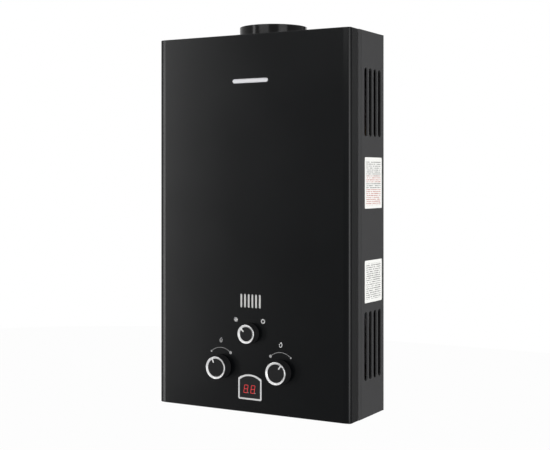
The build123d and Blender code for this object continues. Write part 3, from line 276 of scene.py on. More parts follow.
class Wire:
    """A shader socket that takes Python's arithmetic and adds the Math nodes for it."""

    def __init__(self, finish, socket):
        self.finish = finish
        self.socket = socket

    __add__, __radd__ = reckoned("ADD"), reckoned("ADD", True)
    __sub__, __rsub__ = reckoned("SUBTRACT"), reckoned("SUBTRACT", True)
    __mul__, __rmul__ = reckoned("MULTIPLY"), reckoned("MULTIPLY", True)
    __truediv__, __rtruediv__ = reckoned("DIVIDE"), reckoned("DIVIDE", True)
    __mod__, __rmod__ = reckoned("FLOORED_MODULO"), reckoned("FLOORED_MODULO", True)
    __lt__, __gt__ = reckoned("LESS_THAN"), reckoned("GREATER_THAN")


def shade(colour, factor):
    """A colour made darker or lighter by a factor, worked out in Python."""
    return tuple(min(1.0, part * factor) for part in colour)


class Finish:
    """One material being wired up."""

    def __init__(self, name, tree=None):
        self.material = None
        if tree is None:
            self.material = bpy.data.materials.new(name)
            self.material.use_nodes = True
            tree = self.material.node_tree
        self.tree = tree
        self.tree.nodes.clear()

    def node(self, kind, settings=None, inputs=None, output=0):
        """Add a node: its settings first, then the values or links of its sockets."""
        made = self.tree.nodes.new(kind)
        for key, value in (settings or {}).items():
            if key == "stops":
                ramp = made.color_ramp
                while len(ramp.elements) < len(value):
                    ramp.elements.new(0.5)
                for element, (position, colour) in zip(ramp.elements, value):
                    element.position = position
                    element.color = (*colour, 1.0)
            else:
                setattr(made, key, value)
        for key, value in (inputs or {}).items():
            socket = made.inputs[key]
            if isinstance(value, Wire):
                self.tree.links.new(value.socket, socket)
            elif hasattr(value, "__len__") and len(value) == 3 and len(socket.default_value) == 4:
                socket.default_value = (*value, 1.0)
            else:
                socket.default_value = value
        return Wire(self, made.outputs[output]) if made.outputs else None

    def reckon(self, operation, first, second=0.0, **settings):
        """Add one Math node."""
        sides = {0: first, 1: second}
        return self.node("ShaderNodeMath", {"operation": operation, **settings}, sides)

    def place(self):
        """The piece's own coordinates, in metres."""
        return self.node("ShaderNodeTexCoord", output="Object")

    def axes(self):
        """The three coordinates apart."""
        split = self.node("ShaderNodeSeparateXYZ", {}, {0: self.place()})
        return [Wire(self, socket) for socket in split.socket.node.outputs]

    def noise(self, scale, detail=3.0, rough=0.55, at=None):
        """Noise from 0 to 1; the scale is features to the metre."""
        where = self.place() if at is None else at
        return self.node("ShaderNodeTexNoise", {},
                         {"Vector": where, "Scale": scale, "Detail": detail, "Roughness": rough})

    def stretched(self, along, detail):
        """Noise drawn out into fine lines: features to the metre along each axis."""
        where = self.node("ShaderNodeMapping", {}, {"Vector": self.place(), "Scale": along})
        return self.noise(1.0, detail, 0.5, where)

    def blend(self, mask, first, second):
        """One colour where the mask is 0 and the other where it is 1."""
        return self.node("ShaderNodeMix", {"data_type": "RGBA", "clamp_factor": True},
                         {0: mask, 6: first, 7: second}, output=2)

    def mottle(self, colour, mask, low, high):
        """A colour that goes from one shade of itself to another with the mask."""
        return self.blend(mask, shade(colour, low), shade(colour, high))

    def bump(self, height, depth, strength):
        """A relief of the given depth in metres."""
        return self.node("ShaderNodeBump", {},
                         {"Height": height, "Distance": depth, "Strength": strength})

    def coat(self, colour, tone, gloss, relief, **others):
        """A surface that is uneven in three ways, each a mask and two numbers.

        They are shares of the colour, least roughness and swing, and depth of relief and strength.
        """
        haze, least, swing = gloss
        return self.surface(base_color=self.mottle(colour, *tone), roughness=least + swing * haze,
                            normal=self.bump(*relief), **others)

    def surface(self, **inputs):
        """The Principled surface, with socket names in plain keyword form, and the output."""
        names = {key.replace("_", " ").title().replace("Ior", "IOR"): value
                 for key, value in inputs.items()}
        shader = self.node("ShaderNodeBsdfPrincipled", {}, names)
        self.node("ShaderNodeOutputMaterial", {}, {"Surface": shader})
        return self.material


def enamel_finish(name, colour, gloss, index):
    """Stoved enamel: nearly black, with a fine orange peel and a cloudy gloss."""
    paint = Finish(name)
    cloud, peel = paint.noise(9.0, 2.0), paint.noise(900.0, 2.0)
    return paint.coat(colour, (cloud, 0.85, 1.15), (cloud, gloss - 0.03, 0.06),
                      (peel, 0.00001, 0.35), ior=index)


def powder_finish(name, colour, gloss, shine):
    """Powder coat: a dry, finely pebbled black."""
    paint = Finish(name)
    cloud, pebble = paint.noise(14.0), paint.noise(2600.0, 2.0)
    return paint.coat(colour, (pebble, 0.75, 1.25), (cloud, gloss - 0.04, 0.08),
                      (pebble, 0.00006, 0.5), specular_ior_level=shine)


def moulded_finish(name, colour, gloss=0.5, shine=0.4, grain=3200.0):
    """Moulded plastic with a fine spark-eroded grain."""
    plastic = Finish(name)
    cloud, spark = plastic.noise(40.0, 2.0), plastic.noise(grain)
    return plastic.coat(colour, (cloud, 0.88, 1.12), (spark, gloss - 0.05, 0.1),
                        (spark, 0.00003, 0.4), specular_ior_level=shine)


def turned_finish(name, colour, centre):
    """Bright trim with fine lines turned round its middle."""
    metal = Finish(name)
    x, _, z = metal.axes()
    across, up = x - centre.x, z - centre.z
    out = metal.reckon("SQRT", across * across + up * up)
    lines = metal.node("ShaderNodeTexNoise", {"noise_dimensions": "1D"},
                       {"W": out, "Scale": 5000.0, "Detail": 2.0})
    return metal.coat(colour, (metal.noise(60.0, 2.0), 0.94, 1.04), (lines, 0.24, 0.08),
                      (lines, 0.000005, 0.15), metallic=1.0)


def brushed_finish(name, colour, along, gloss, relief=0.3):
    """Metal with straight brushing along one way."""
    metal = Finish(name)
    lines = metal.stretched(along, 3.0)
    return metal.coat(colour, (metal.noise(30.0, 2.0), 0.9, 1.06), (lines, gloss - 0.06, 0.16),
                      (lines, 0.000015, relief), metallic=1.0)


def zinc_finish(name, colour, inside):
    """Zinc-coated sheet with its frosted spangle, painted nearly black in front of a depth as the
    shade of the case's inside.
    """
    metal = Finish(name)
    _, y, _ = metal.axes()
    spangle = metal.node("ShaderNodeTexVoronoi", {"feature": "F1"},
                         {"Vector": metal.place(), "Scale": 170.0}, output="Color")
    tone = metal.node("ShaderNodeSeparateColor", {}, {0: spangle})
    haze = metal.noise(240.0)
    bright = metal.mottle(colour, tone, 0.9, 1.1)
    return metal.surface(
        # Painted shade: the sheet in front of the given depth is nearly black, standing for the
        # inside of the case seen through the vents.
        base_color=metal.blend(y < inside, bright, shade(colour, 0.06)),
        metallic=1.0,
        roughness=0.3 + 0.12 * tone + 0.08 * haze,
        normal=metal.bump(haze, 0.00002, 0.2),
    )


def drawn_finish(name, colour, stain, gloss):
    """Copper or brass with darker tarnish in patches and fine handling marks."""
    metal = Finish(name)
    patch = metal.node("ShaderNodeValToRGB", {"stops": [(0.42, (0, 0, 0)), (0.72, (1, 1, 1))]},
                       {0: metal.noise(38.0, 4.0, 0.65)})
    tarnish = metal.node("ShaderNodeSeparateColor", {}, {0: patch})
    fine = metal.noise(900.0)
    return metal.surface(
        base_color=metal.blend(tarnish, colour, stain),
        metallic=1.0,
        roughness=gloss - 0.05 + 0.1 * fine + 0.14 * tarnish,
        normal=metal.bump(fine, 0.00002, 0.2),
    )


def cast_finish(name, colour):
    """Die-cast alloy: grey, with a fine pebbled skin."""
    metal = Finish(name)
    skin = metal.noise(700.0, 4.0, 0.6)
    return metal.coat(colour, (metal.noise(35.0), 0.85, 1.1), (skin, 0.42, 0.16),
                      (skin, 0.00008, 0.5), metallic=0.9)


def thread_finish(name, colour, stain, centre, below):
    """Brass with a pipe thread below a height: its relief winds round the middle."""
    metal = Finish(name)
    x, y, z = metal.axes()
    angle = metal.reckon("ARCTAN2", y - centre.y, x - centre.x)
    climb = (z / PIPE_PITCH - angle / math.tau) % 1.0
    groove = metal.reckon("PINGPONG", climb, 0.5)
    threaded = z < below
    fine = metal.noise(900.0)
    valley = (1.0 - 2.0 * groove) * threaded
    return metal.surface(
        base_color=metal.blend(valley * 0.7, colour, stain),
        metallic=1.0,
        roughness=0.26 + 0.1 * fine + 0.12 * valley,
        normal=metal.bump(groove * threaded * 2.0 + 0.02 * fine, 0.0009, 0.9),
    )


def window_finish(name, colour):
    """Smoked clear plastic over a black board: deep and glossy, with faint wipe marks."""
    pane = Finish(name)
    wipe = pane.stretched((120, 1, 900), 2.0)
    return pane.surface(
        base_color=pane.mottle(colour, wipe, 0.9, 1.1),
        roughness=0.1 + 0.08 * wipe,
        specular_ior_level=0.14,
    )


def pane_finish(name, colour):
    """Mica pane: pale, faintly streaked up and down."""
    pane = Finish(name)
    streak, flake = pane.stretched((700, 1, 40), 2.0), pane.noise(420.0)
    return pane.coat(colour, (streak, 0.86, 1.12), (flake, 0.3, 0.12), (flake, 0.00004, 0.3),
                     specular_ior_level=0.6)


def glow_finish(name, colour):
    """A lit bar: even red light, a touch brighter where its lamp sits."""
    lamp = Finish(name)
    spot = lamp.noise(420.0, 1.0)
    return lamp.surface(
        base_color=(0.02, 0.004, 0.004),
        roughness=0.5,
        specular_ior_level=0.1,
        emission_color=lamp.mottle(colour, spot, 0.9, 1.1),
        emission_strength=1.0,
    )


def ink_finish(name, colour):
    """Screen-printed ink: flat, faintly uneven."""
    ink = Finish(name)
    grain = ink.noise(1500.0)
    return ink.coat(colour, (grain, 0.86, 1.1), (grain, 0.5, 0.15), (grain, 0.00002, 0.3),
                    specular_ior_level=0.3)


def card_finish(name, paper, front, rear, top, foot, rows, inks):
    """A plain printed card: short ruled strokes in rows, in one of two inks by the row."""
    strokes_to_metre, row_shift, bare_share = 420.0, (7.31, 3.17), 0.44
    rule_foot, rule_top, ink_share = 0.22, 0.68, 0.85
    margin = 5.0 * MM
    card = Finish(name)
    _, y, z = card.axes()
    count = (top - z) / ((top - foot) / rows)
    within = count % 1.0
    row = count - within
    spot = card.node("ShaderNodeCombineXYZ", {},
                     {0: y * strokes_to_metre, 1: row * row_shift[0], 2: row * row_shift[1]})
    strokes = card.noise(1.0, 2.0, 0.5, spot) > bare_share
    field = (y > front + margin) * (y < rear - margin) * (z < top - margin) * (z > foot + margin)
    ruled = (within > rule_foot) * (within < rule_top) * field * strokes
    choice = card.node("ShaderNodeValToRGB", {"stops": inks}, {0: (row + 0.5) / rows})
    fibre = card.noise(1800.0)
    stock = card.mottle(paper, fibre, 0.95, 1.03)
    return card.surface(
        base_color=card.blend(ruled * ink_share, stock, choice),
        roughness=0.45 + 0.1 * fibre,
        specular_ior_level=0.4,
        normal=card.bump(fibre, 0.00002, 0.2),
    )


# Modelling by operators

STILL = (0.0, 0.0, 0.0)  # neither moved nor turned
FACING_FRONT = (math.pi / 2, 0.0, 0.0)
FACING_RIGHT = (math.pi / 2, 0.0, math.pi / 2)


def choose(*pieces):
    """Select these pieces and nothing else; the first becomes the active one."""
    bpy.ops.object.select_all(action="DESELECT")
    for piece in reversed(pieces):
        piece.select_set(True)
        bpy.context.view_layer.objects.active = piece


def named(name):
    """Name the active piece and its mesh."""
    piece = bpy.context.active_object
    piece.name = piece.data.name = name
    return piece


def begin(add, name, **settings):
    """Add a primitive with nothing else selected, and name it."""
    choose()
    add(**settings)
    return named(name)


def circle(name, radius, steps, fill="NOTHING"):
    """The outline of a circle, or a filled one, at the origin."""
    return begin(bpy.ops.mesh.primitive_circle_add, name, vertices=steps, radius=radius,
                 fill_type=fill)


def edit(piece, kind="FACE"):
    """Open a piece for editing with all of it selected."""
    choose(piece)
    bpy.ops.object.mode_set(mode="EDIT")
    bpy.ops.mesh.select_mode(type=kind)
    bpy.ops.mesh.select_all(action="SELECT")


def close():
    """Leave edit mode."""
    bpy.ops.object.mode_set(mode="OBJECT")


def pick(piece, kind, test):
    """In edit mode, select the edges or faces whose middle passes a test."""
    mesh = bmesh.from_edit_mesh(piece.data)
    bpy.ops.mesh.select_all(action="DESELECT")
    parts = mesh.edges if kind == "EDGE" else mesh.faces
    found = [part for part in parts
             if test(sum((corner.co for corner in part.verts), Vector()) / len(part.verts))]
    if not found:
        raise RuntimeError(f"{piece.name}: nothing to select")
    for part in found:
        part.select_set(True)
    mesh.select_flush_mode()
    bmesh.update_edit_mesh(piece.data)


def face_outwards():
    """In edit mode, turn every face of the piece outwards."""
    bpy.ops.mesh.select_all(action="SELECT")
    bpy.ops.mesh.normals_make_consistent(inside=False)


def push(height):
    """Extrude the selected faces up, or down where the height is below nought."""
    bpy.ops.mesh.extrude_region_move(TRANSFORM_OT_translate={"value": (0.0, 0.0, height)})


def finish_with(piece, kind, **settings):
    """Add a modifier and apply it."""
    choose(piece)
    modifier = piece.modifiers.new(kind.title(), kind)
    for key, value in settings.items():
        setattr(modifier, key, value)
    bpy.ops.object.modifier_apply(modifier=modifier.name)


def thicken(piece, depth):
    """Give a flat sheet its thickness, upwards from where it lies."""
    finish_with(piece, "SOLIDIFY", thickness=depth, offset=1.0, use_even_offset=True)


def settle(piece, where=STILL, turned=STILL):
    """Put a piece in its place and leave that place in its mesh."""
    choose(piece)
    piece.rotation_euler = turned
    piece.location = where
    bpy.ops.object.transform_apply(location=True, rotation=True, scale=True)


def copy_of(piece, name, where=STILL, turned=STILL):
    """A copy with its own mesh, put in its place."""
    choose(piece)
    bpy.ops.object.duplicate(linked=False)
    made = named(name)
    settle(made, where, turned)
    return made


def polar(distance, angle):
    """A place on the flat, from its distance and its angle."""
    return Vector((distance * math.cos(angle), distance * math.sin(angle), 0.0))


def joined(pieces, name):
    """Join pieces into one."""
    choose(*pieces)
    bpy.ops.object.join()
    return named(name)


def smooth(piece):
    """Shade a piece smooth but for its sharp edges."""
    choose(piece)
    bpy.ops.object.shade_smooth_by_angle(angle=SMOOTH_ANGLE)


def discard(*models):
    """Remove models that have been copied."""
    for model in models:
        bpy.data.objects.remove(model)


def cover(piece, material):
    """Give a piece one material all over."""
    piece.data.materials.clear()
    piece.data.materials.append(material)


def dress(piece, material):
    """Give a finished piece of the case its material."""
    cover(piece, material)
    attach(piece, "case")


def sheet(name, width, height, corner, steps=5):
    """A flat sheet with rounded corners, at the origin."""
    piece = begin(bpy.ops.mesh.primitive_plane_add, name, size=1.0)
    piece.scale = (width, height, 1.0)
    settle(piece)
    edit(piece, "VERT")
    bpy.ops.mesh.bevel(offset=corner, offset_type="OFFSET", segments=steps, affect="VERTICES")
    close()
    return piece


def band(piece, grow, height):
    """Draw an outline out or in, about a point at a height, into a flat band that faces up."""
    edit(piece, "EDGE")
    bpy.ops.mesh.extrude_edges_move()
    bpy.ops.transform.resize(value=(grow, grow, 1.0), center_override=(0.0, height, 0.0))
    face_outwards()
    close()
    if piece.data.polygons[0].normal.z < 0.0:
        edit(piece)
        bpy.ops.mesh.flip_normals()
        close()
    return piece


def hoop(name, radius, stroke, steps):
    """A flat ring at the origin."""
    inner, outer = radius - stroke / 2, radius + stroke / 2
    return band(circle(name, inner, steps), outer / inner, 0.0)


def disc(name, radius, steps=32):
    """A flat disc with a ring of faces inside its edge."""
    piece = circle(name, radius, steps, "NGON")
    edit(piece)
    bpy.ops.mesh.inset(thickness=radius * DISC_RIM)
    close()
    return piece


def arc(name, radius, stroke, spread):
    """A part of a ring, equally to both sides of the top."""
    piece = hoop(name, radius, stroke, steps=180)
    edit(piece)
    for side in (-1.0, 1.0):
        bpy.ops.mesh.select_all(action="SELECT")
        bpy.ops.mesh.bisect(
            plane_co=(0.0, 0.0, 0.0),
            plane_no=(side * math.cos(spread), -math.sin(spread), 0.0),
            clear_outer=True,
        )
    close()
    return piece


def teardrop(name, width, height, stroke, lean):
    """The outline of a drop or a tongue of flame: a circle drawn up to a point."""
    pinch, sharpness, belly = 0.82, 2.2, -0.15
    piece = circle(name, width / 2, steps=64)
    for vertex in piece.data.vertices:
        rise = max(0.0, vertex.co.y / width + 0.5)
        vertex.co.x = vertex.co.x * (1.0 - pinch * rise ** sharpness) + lean * rise ** 2 * width
        vertex.co.y = (rise - 0.5) * height
    return band(piece, 1.0 - 2.0 * stroke / width, belly * height)


# Pieces

class HEATER_OT_finishes(bpy.types.Operator):
    """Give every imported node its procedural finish"""

    bl_idname = "heater.finishes"
    bl_label = "Finishes"

    def execute(self, context):
        colour = context.scene.heater_colours
        brown, bright = (0.30, 0.17, 0.06), shade(colour.silver, 0.8)
        finishes = {
            "front_cover": enamel_finish("cover_enamel", colour.enamel, 0.235, 1.17),
            # The back plate is painted dark in front of the side panels' rear edges, as shade of
            # the case's inside.
            "back_plate": zinc_finish("zinc_sheet", colour.zinc, BACK_FACE - 0.5 * MM),
            "display_bezel": brushed_finish("bezel_silver", bright, (40, 40, 1400), 0.34, 0.05),
            "display_window": window_finish("smoked_window", colour.window),
            "sight_pane": pane_finish("mica_pane", colour.pane),
            "switch_plunger": moulded_finish("white_plastic", (0.72, 0.71, 0.68)),
            "electrode_insulators": moulded_finish("glazed_ceramic", (0.78, 0.77, 0.72), 0.2, 0.5,
                                                   600.0),
            "batteries": brushed_finish("cell_sleeve", (0.10, 0.11, 0.14), (30, 30, 700), 0.3),
            "drain_plug": brushed_finish("drain_nickel", bright, (60, 60, 900), 0.25),
        }
        for control in CONTROLS:
            finishes[control + "_knob_ring"] = turned_finish(
                control + "_ring_silver", colour.silver, middle(control + "_knob"))
        for stub in ("gas_inlet", "cold_water_inlet", "hot_water_outlet"):
            finishes[stub] = thread_finish(stub + "_brass", colour.brass, brown, middle(stub),
                                           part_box(stub)[0].z + THREAD_LENGTH)
        for material, nodes in (
            (powder_finish("case_powder", colour.powder, 0.55, 0.06),
             "left_side_panel right_side_panel"),
            (enamel_finish("collar_enamel", colour.collar, 0.16, 1.22),
             "flue_collar top_panel bottom_panel"),
            (brushed_finish("plated_steel", (0.56, 0.57, 0.58), (60, 900, 60), 0.3),
             "burner_frame electrode_bracket linkage_yoke case_screws diaphragm_screws "
             "manifold_pipe linkage_rod valve_spring"),
            # Painted shade: the hood and brackets are nearly black, standing for the inside of the
            # case seen through the vents.
            (brushed_finish("steel_painted_shade", (0.045, 0.043, 0.042), (60, 60, 900), 0.5),
             "draught_hood support_brackets"),
            # The exchanger, chamber and pipes take the copper darkened as painted shade of the
            # case's inside.
            (drawn_finish("exchanger_copper_painted_shade", colour.copper, (0.03, 0.018, 0.014), 0.4),
             "combustion_chamber fin_pack exchanger_coil cold_feed_pipe hot_pipe"),
            (drawn_finish("fitting_brass", colour.brass, brown, 0.28),
             "union_nuts gas_jets spindle_glands gas_spindle water_spindle season_spindle "
             "water_valve_body diaphragm_cover"),
            (cast_finish("cast_alloy", (0.46, 0.47, 0.48)), "gas_valve_body gas_manifold"),
            (moulded_finish("knob_plastic", colour.knob, 0.45, 0.07),
             "gas_knob water_knob season_knob"),
            # The cover seals are black rubber and a strip set in the gap round the cover; they are
            # partly a seal and partly a painted shadow line along that gap.
            (moulded_finish("black_rubber", (0.012, 0.012, 0.012), 0.75, 0.25, 1500.0),
             "cover_seals diaphragm leads"),
            (moulded_finish("black_plastic", (0.018, 0.018, 0.019)),
             "control_box battery_box battery_lid microswitch display_board gas_solenoid "
             "overheat_thermostat"),
            (brushed_finish("burner_steel", (0.42, 0.41, 0.40), (900, 40, 40), 0.34),
             "burner_blades electrode_wires"),
        ):
            finishes.update(dict.fromkeys(nodes.split(), material))
        bare = set(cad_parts) - set(finishes)
        if bare:
            raise RuntimeError(f"no finish for {sorted(bare)}")
        for node, material in finishes.items():
            cover(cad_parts[node], material)
        return {"FINISHED"}


class HEATER_OT_front_marks(bpy.types.Operator):
    """Print the arcs with their dots, the flame, the drop, the snow and the sun on the front"""

    bl_idname = "heater.front_marks"
    bl_label = "Front marks"

    def execute(self, context):
        size, pale = context.scene.heater_marks, context.scene.heater_colours.print
        ink = ink_finish("printed_ink", pale)
        faint = ink_finish("printed_line", shade(pale, LINE_SHADE))
        gas, water, season = (middle(control + "_knob") for control in CONTROLS)
        end_x = size.arc_radius * math.sin(size.arc_spread)
        end_y = size.arc_radius * math.cos(size.arc_spread)
        for name, hub, left_dot, right_dot in (
            ("gas_range_arc", gas, size.small_dot, size.large_dot),
            ("water_range_arc", water, size.large_dot, size.small_dot),
        ):
            parts = [arc(name, size.arc_radius, size.stroke, size.arc_spread)]
            for x, radius in ((-end_x, left_dot), (end_x, right_dot)):
                parts.append(disc(name + "_dot", radius))
                settle(parts[-1], (x, end_y, 0.0))
            self.lay(joined(parts, name), hub.x, hub.z + size.arc_rise, faint)
        flame, tall = self.flame(size.flame_height, size.stroke), size.drop_height
        drop = teardrop("drop_mark", tall * 0.7, tall, stroke=size.stroke * 1.1, lean=0.24)
        for mark, hub, across, rise in (
            (flame, gas, 0.0, size.mark_rise),
            (drop, water, 0.0, size.mark_rise),
            (self.snow(size.season_size, size.stroke), season, -size.snow_x, size.season_rise),
            (self.sun(size.season_size, size.stroke), season, size.sun_x, size.season_rise),
        ):
            self.lay(mark, hub.x + across, hub.z + rise, ink)
        return {"FINISHED"}

    def lay(self, piece, x, z, ink):
        """Thicken a mark and lay it half sunk in the cover's face."""
        height = bpy.context.scene.heater_marks.ink
        thicken(piece, 2 * height)
        settle(piece, (x, COVER_FACE + height, z), FACING_FRONT)
        dress(piece, ink)

    def flame(self, tall, stroke):
        """A tongue of flame with a small one in its foot."""
        outer = teardrop("flame_mark", tall * 0.8, tall, stroke=stroke * 0.6, lean=0.16)
        inner = teardrop("flame_heart", tall * 0.28, tall * 0.36, stroke=stroke * 0.4, lean=-0.12)
        settle(inner, (0.0, -tall * 0.2, 0.0))
        return joined([outer, inner], "flame_mark")

    def snow(self, across, stroke):
        """Three crossed bars, each with two barbs at both ends."""
        bar = sheet("snow_mark", across, stroke * 0.8, corner=stroke * 0.3, steps=2)
        barb = sheet("snow_barb", across * 0.24, stroke * 0.8, corner=stroke * 0.2, steps=2)
        fork, reach = across * 0.27, across * 0.1
        parts = []
        for step in range(6):
            angle = step * math.pi / 3
            if step < 3:
                parts.append(copy_of(bar, "snow_arm", turned=(0.0, 0.0, angle)))
            for side in (-1.0, 1.0):
                lean = angle + side * math.pi / 4
                parts.append(copy_of(barb, "snow_twig", polar(fork, angle) + polar(reach, lean),
                                     (0.0, 0.0, lean)))
        discard(bar, barb)
        return joined(parts, "snow_mark")

    def sun(self, across, stroke):
        """A ring with eight short rays round it."""
        ray = sheet("sun_ray", across * 0.11, stroke * 0.7, corner=stroke * 0.2, steps=2)
        parts = [hoop("sun_mark", across * 0.38, stroke * 1.25, steps=48)]
        out = across * 0.53
        for step in range(8):
            angle = step * math.pi / 4
            parts.append(copy_of(ray, "sun_ray_copy", polar(out, angle), (0.0, 0.0, angle)))
        discard(ray)
        return joined(parts, "sun_mark")


class HEATER_OT_display_digits(bpy.types.Operator):
    """Light two seven-bar digits on the display, each with its unlit point"""

    bl_idname = "heater.display_digits"
    bl_label = "Display digits"

    def execute(self, context):
        size = context.scene.heater_display
        hub = middle("display_window")
        tall, wide, bar = size.digit_height, size.digit_width, size.bar
        half, gap, tip, dot = (tall - bar) / 2, bar * 0.12, bar * 0.42, bar * 0.9
        dot_x, dot_y = wide / 2 + bar * 0.6, bar * 0.65 - tall / 2
        upright = sheet("digit_bar", half - gap, bar, tip, 1)
        level = sheet("digit_cross_bar", wide - bar - gap, bar, tip, 1)
        spots = [(level, 0.0, y, 0.0) for y in (half, 0.0, -half)]
        spots += [(upright, x, y, math.pi / 2) for x in ((bar - wide) / 2, (wide - bar) / 2)
                  for y in (-half / 2, half / 2)]
        lean = Matrix.Identity(4)
        lean[0][1] = math.tan(size.slant)
        lit, points = [], []
        for place_x in (-size.pitch / 2, size.pitch / 2):
            bars = [copy_of(source, "lit_bar", (x, y, 0.0), (0.0, 0.0, angle))
                    for source, x, y, angle in spots]
            lit.append(joined(bars, "lit_digit"))
            lit[-1].data.transform(lean)
            settle(lit[-1], (place_x, 0.0, 0.0))
            points.append(disc("unlit_point", dot, steps=24))
            settle(points[-1], (place_x + dot_x, dot_y, 0.0))
        discard(upright, level)
        for parts, name, material in (
            (lit, "display_digits", glow_finish("lit_red", size.glow)),
            (points, "display_points", ink_finish("unlit_grey", size.unlit)),
        ):
            piece = joined(parts, name)
            thicken(piece, 2 * size.film)
            settle(piece, (hub.x + size.shift_x, WINDOW_FACE + size.film, hub.z + size.shift_z),
                   FACING_FRONT)
            dress(piece, material)
        return {"FINISHED"}


class HEATER_OT_side_cards(bpy.types.Operator):
    """Stick the two plain cards on the right side panel"""

    bl_idname = "heater.side_cards"
    bl_label = "Side cards"

    def execute(self, context):
        size = context.scene.heater_cards
        paper = context.scene.heater_colours.paper
        grey, red = (0.13, 0.13, 0.13), (0.46, 0.11, 0.09)
        for name, z, tall, rows, inks in (
            ("upper_side_card", size.upper_z, size.upper_height, 26,
             [(0.0, grey), (0.36, grey), (0.37, red), (0.48, red), (0.49, grey), (0.62, grey),
              (0.63, red), (1.0, red)]),
            ("lower_side_card", size.lower_z, size.lower_height, 20, [(0.0, grey), (1.0, grey)]),
        ):
            card = sheet(name, size.width, tall, size.corner)
            thicken(card, size.sheet)
            settle(card, (RIGHT_FACE - size.sheet * CARD_SUNK, size.middle_y, z), FACING_RIGHT)
            front, rear = size.middle_y - size.width / 2, size.middle_y + size.width / 2
            dress(card, card_finish(name + "_print", paper, front, rear, z + tall / 2, z - tall / 2,
                                    rows, inks))
        return {"FINISHED"}


class HEATER_OT_badge(bpy.types.Operator):
    """Fix a slim plain badge near the top of the front"""

    bl_idname = "heater.badge"
    bl_label = "Plain badge"

    def execute(self, context):
        size = context.scene.heater_cards
        badge = sheet("plain_badge", size.badge_width, size.badge_height, size.badge_height * 0.49,
                      steps=10)
        thicken(badge, size.badge_plate)
        edit(badge)
        pick(badge, "FACE", lambda spot: spot.z > size.badge_plate * NEARLY)
        bpy.ops.mesh.inset(thickness=size.badge_rim)
        push(-size.badge_sunk)
        close()
        finish_with(badge, "BEVEL", width=size.badge_edge, segments=2, limit_method="ANGLE",
                    angle_limit=SHARP_ANGLE)
        settle(badge, (0.0, COVER_FACE + size.badge_plate * BADGE_SUNK, size.badge_z), FACING_FRONT)
        dress(badge, brushed_finish("badge_silver", (0.30, 0.30, 0.31), (30, 30, 1600), 0.34))
        return {"FINISHED"}


class HEATER_OT_case_screws(bpy.types.Operator):
    """Model the pan-head screws of the case, each with its cross recess"""

    bl_idname = "heater.case_screws"
    bl_label = "Case screws"

    def execute(self, context):
        size = context.scene.heater_screws
        places = solids_in("case_screws")
        model = self.screw(size, places[0])
        screws = []
        for low, high in places:
            hub, span = (low + high) / 2, high - low
            if span.y > span.z:
                out = Vector((0.0, 1.0, 0.0))
            else:
                out = Vector((0.0, 0.0, math.copysign(1.0, hub.z)))
            screws.append(copy_of(model, "case_screw", hub + out * max(span) / 2,
                                  out.to_track_quat("Z", "Y").to_euler()))
        discard(model)
        heads = joined(screws, "case_screw_heads")
        dress(heads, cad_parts["case_screws"].data.materials[0])
        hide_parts("case_screws")
        return {"FINISHED"}

    def screw(self, size, box):
        """One screw, with the top of its head at the origin and its shank pointing down."""
        span = sorted(box[1] - box[0])
        piece = begin(bpy.ops.mesh.primitive_cylinder_add, "screw_model", vertices=40,
                      radius=span[0] / 2, depth=size.head_height)
        settle(piece, (0.0, 0.0, -size.head_height / 2))
        edit(piece)
        pick(piece, "FACE", lambda spot: spot.z < -size.head_height * NEARLY)
        bpy.ops.mesh.inset(thickness=span[0] / 2 - size.shank)
        push(size.head_height + size.crown - span[2])
        push(-size.crown)
        bpy.ops.transform.resize(value=(TIP_SHARE, TIP_SHARE, 1.0))
        bpy.ops.mesh.select_mode(type="EDGE")
        pick(piece, "EDGE", lambda spot: spot.z > size.head_height * (NEARLY - 1.0))
        bpy.ops.mesh.bevel(offset=size.crown, segments=5, affect="EDGES")
        close()
        for angle in (0.0, math.pi / 2):
            slot = begin(bpy.ops.mesh.primitive_cube_add, "screw_slot", size=1.0)
            slot.scale = (size.arm_length, size.arm_width, 2 * size.recess)
            settle(slot, turned=(0.0, 0.0, angle))
            finish_with(piece, "BOOLEAN", object=slot, operation="DIFFERENCE", solver="EXACT")
            discard(slot)
        smooth(piece)
        return piece


class HEATER_OT_valve_spring(bpy.types.Operator):
    """Wind the spring behind the gas disc at its length in the frame; the sliding rod presses it
    together in the heater, not in this scene
    """

    bl_idname = "heater.valve_spring"
    bl_label = "Valve spring"

    def execute(self, context):
        size = context.scene.heater_spring
        low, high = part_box("valve_spring")
        hub, span = (low + high) / 2, high - low
        spring = circle("valve_spring_wire", size.wire / 2, steps=12)
        settle(spring, ((span.y - size.wire) / 2, 0.0, 0.0), FACING_FRONT)
        finish_with(spring, "SCREW", axis="Z", angle=math.tau, iterations=size.turns, steps=32,
                    render_steps=32, screw_offset=(span.x - size.wire) / size.turns)
        edit(spring, "EDGE")
        bpy.ops.mesh.fill_holes(sides=0)
        face_outwards()
        close()
        settle(spring, (low.x + size.wire / 2, hub.y, hub.z), (0.0, math.pi / 2, 0.0))
        smooth(spring)
        dress(spring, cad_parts["valve_spring"].data.materials[0])
        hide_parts("valve_spring")
        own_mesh(spring)
        return {"FINISHED"}


def round_the_front(where, y):
    """A place given as degrees to the left of the front, distance from a depth, and height."""
    side, distance, height = where
    angle = math.radians(side)
    return -distance * math.sin(angle), y - distance * math.cos(angle), height


WHITE = (1.0, 1.0, 1.0)
FLOOR_SIZE, FLOOR_CORNER = (14.0, 14.0), 3.0
CAMERA_PLACE = (0.8873, -1.6187, 0.0701)
CAMERA_HEADING = math.atan2(0.4938, 0.8696)
CAMERA_SHIFT = -0.0852
CAMERA_SENSOR = 36.0


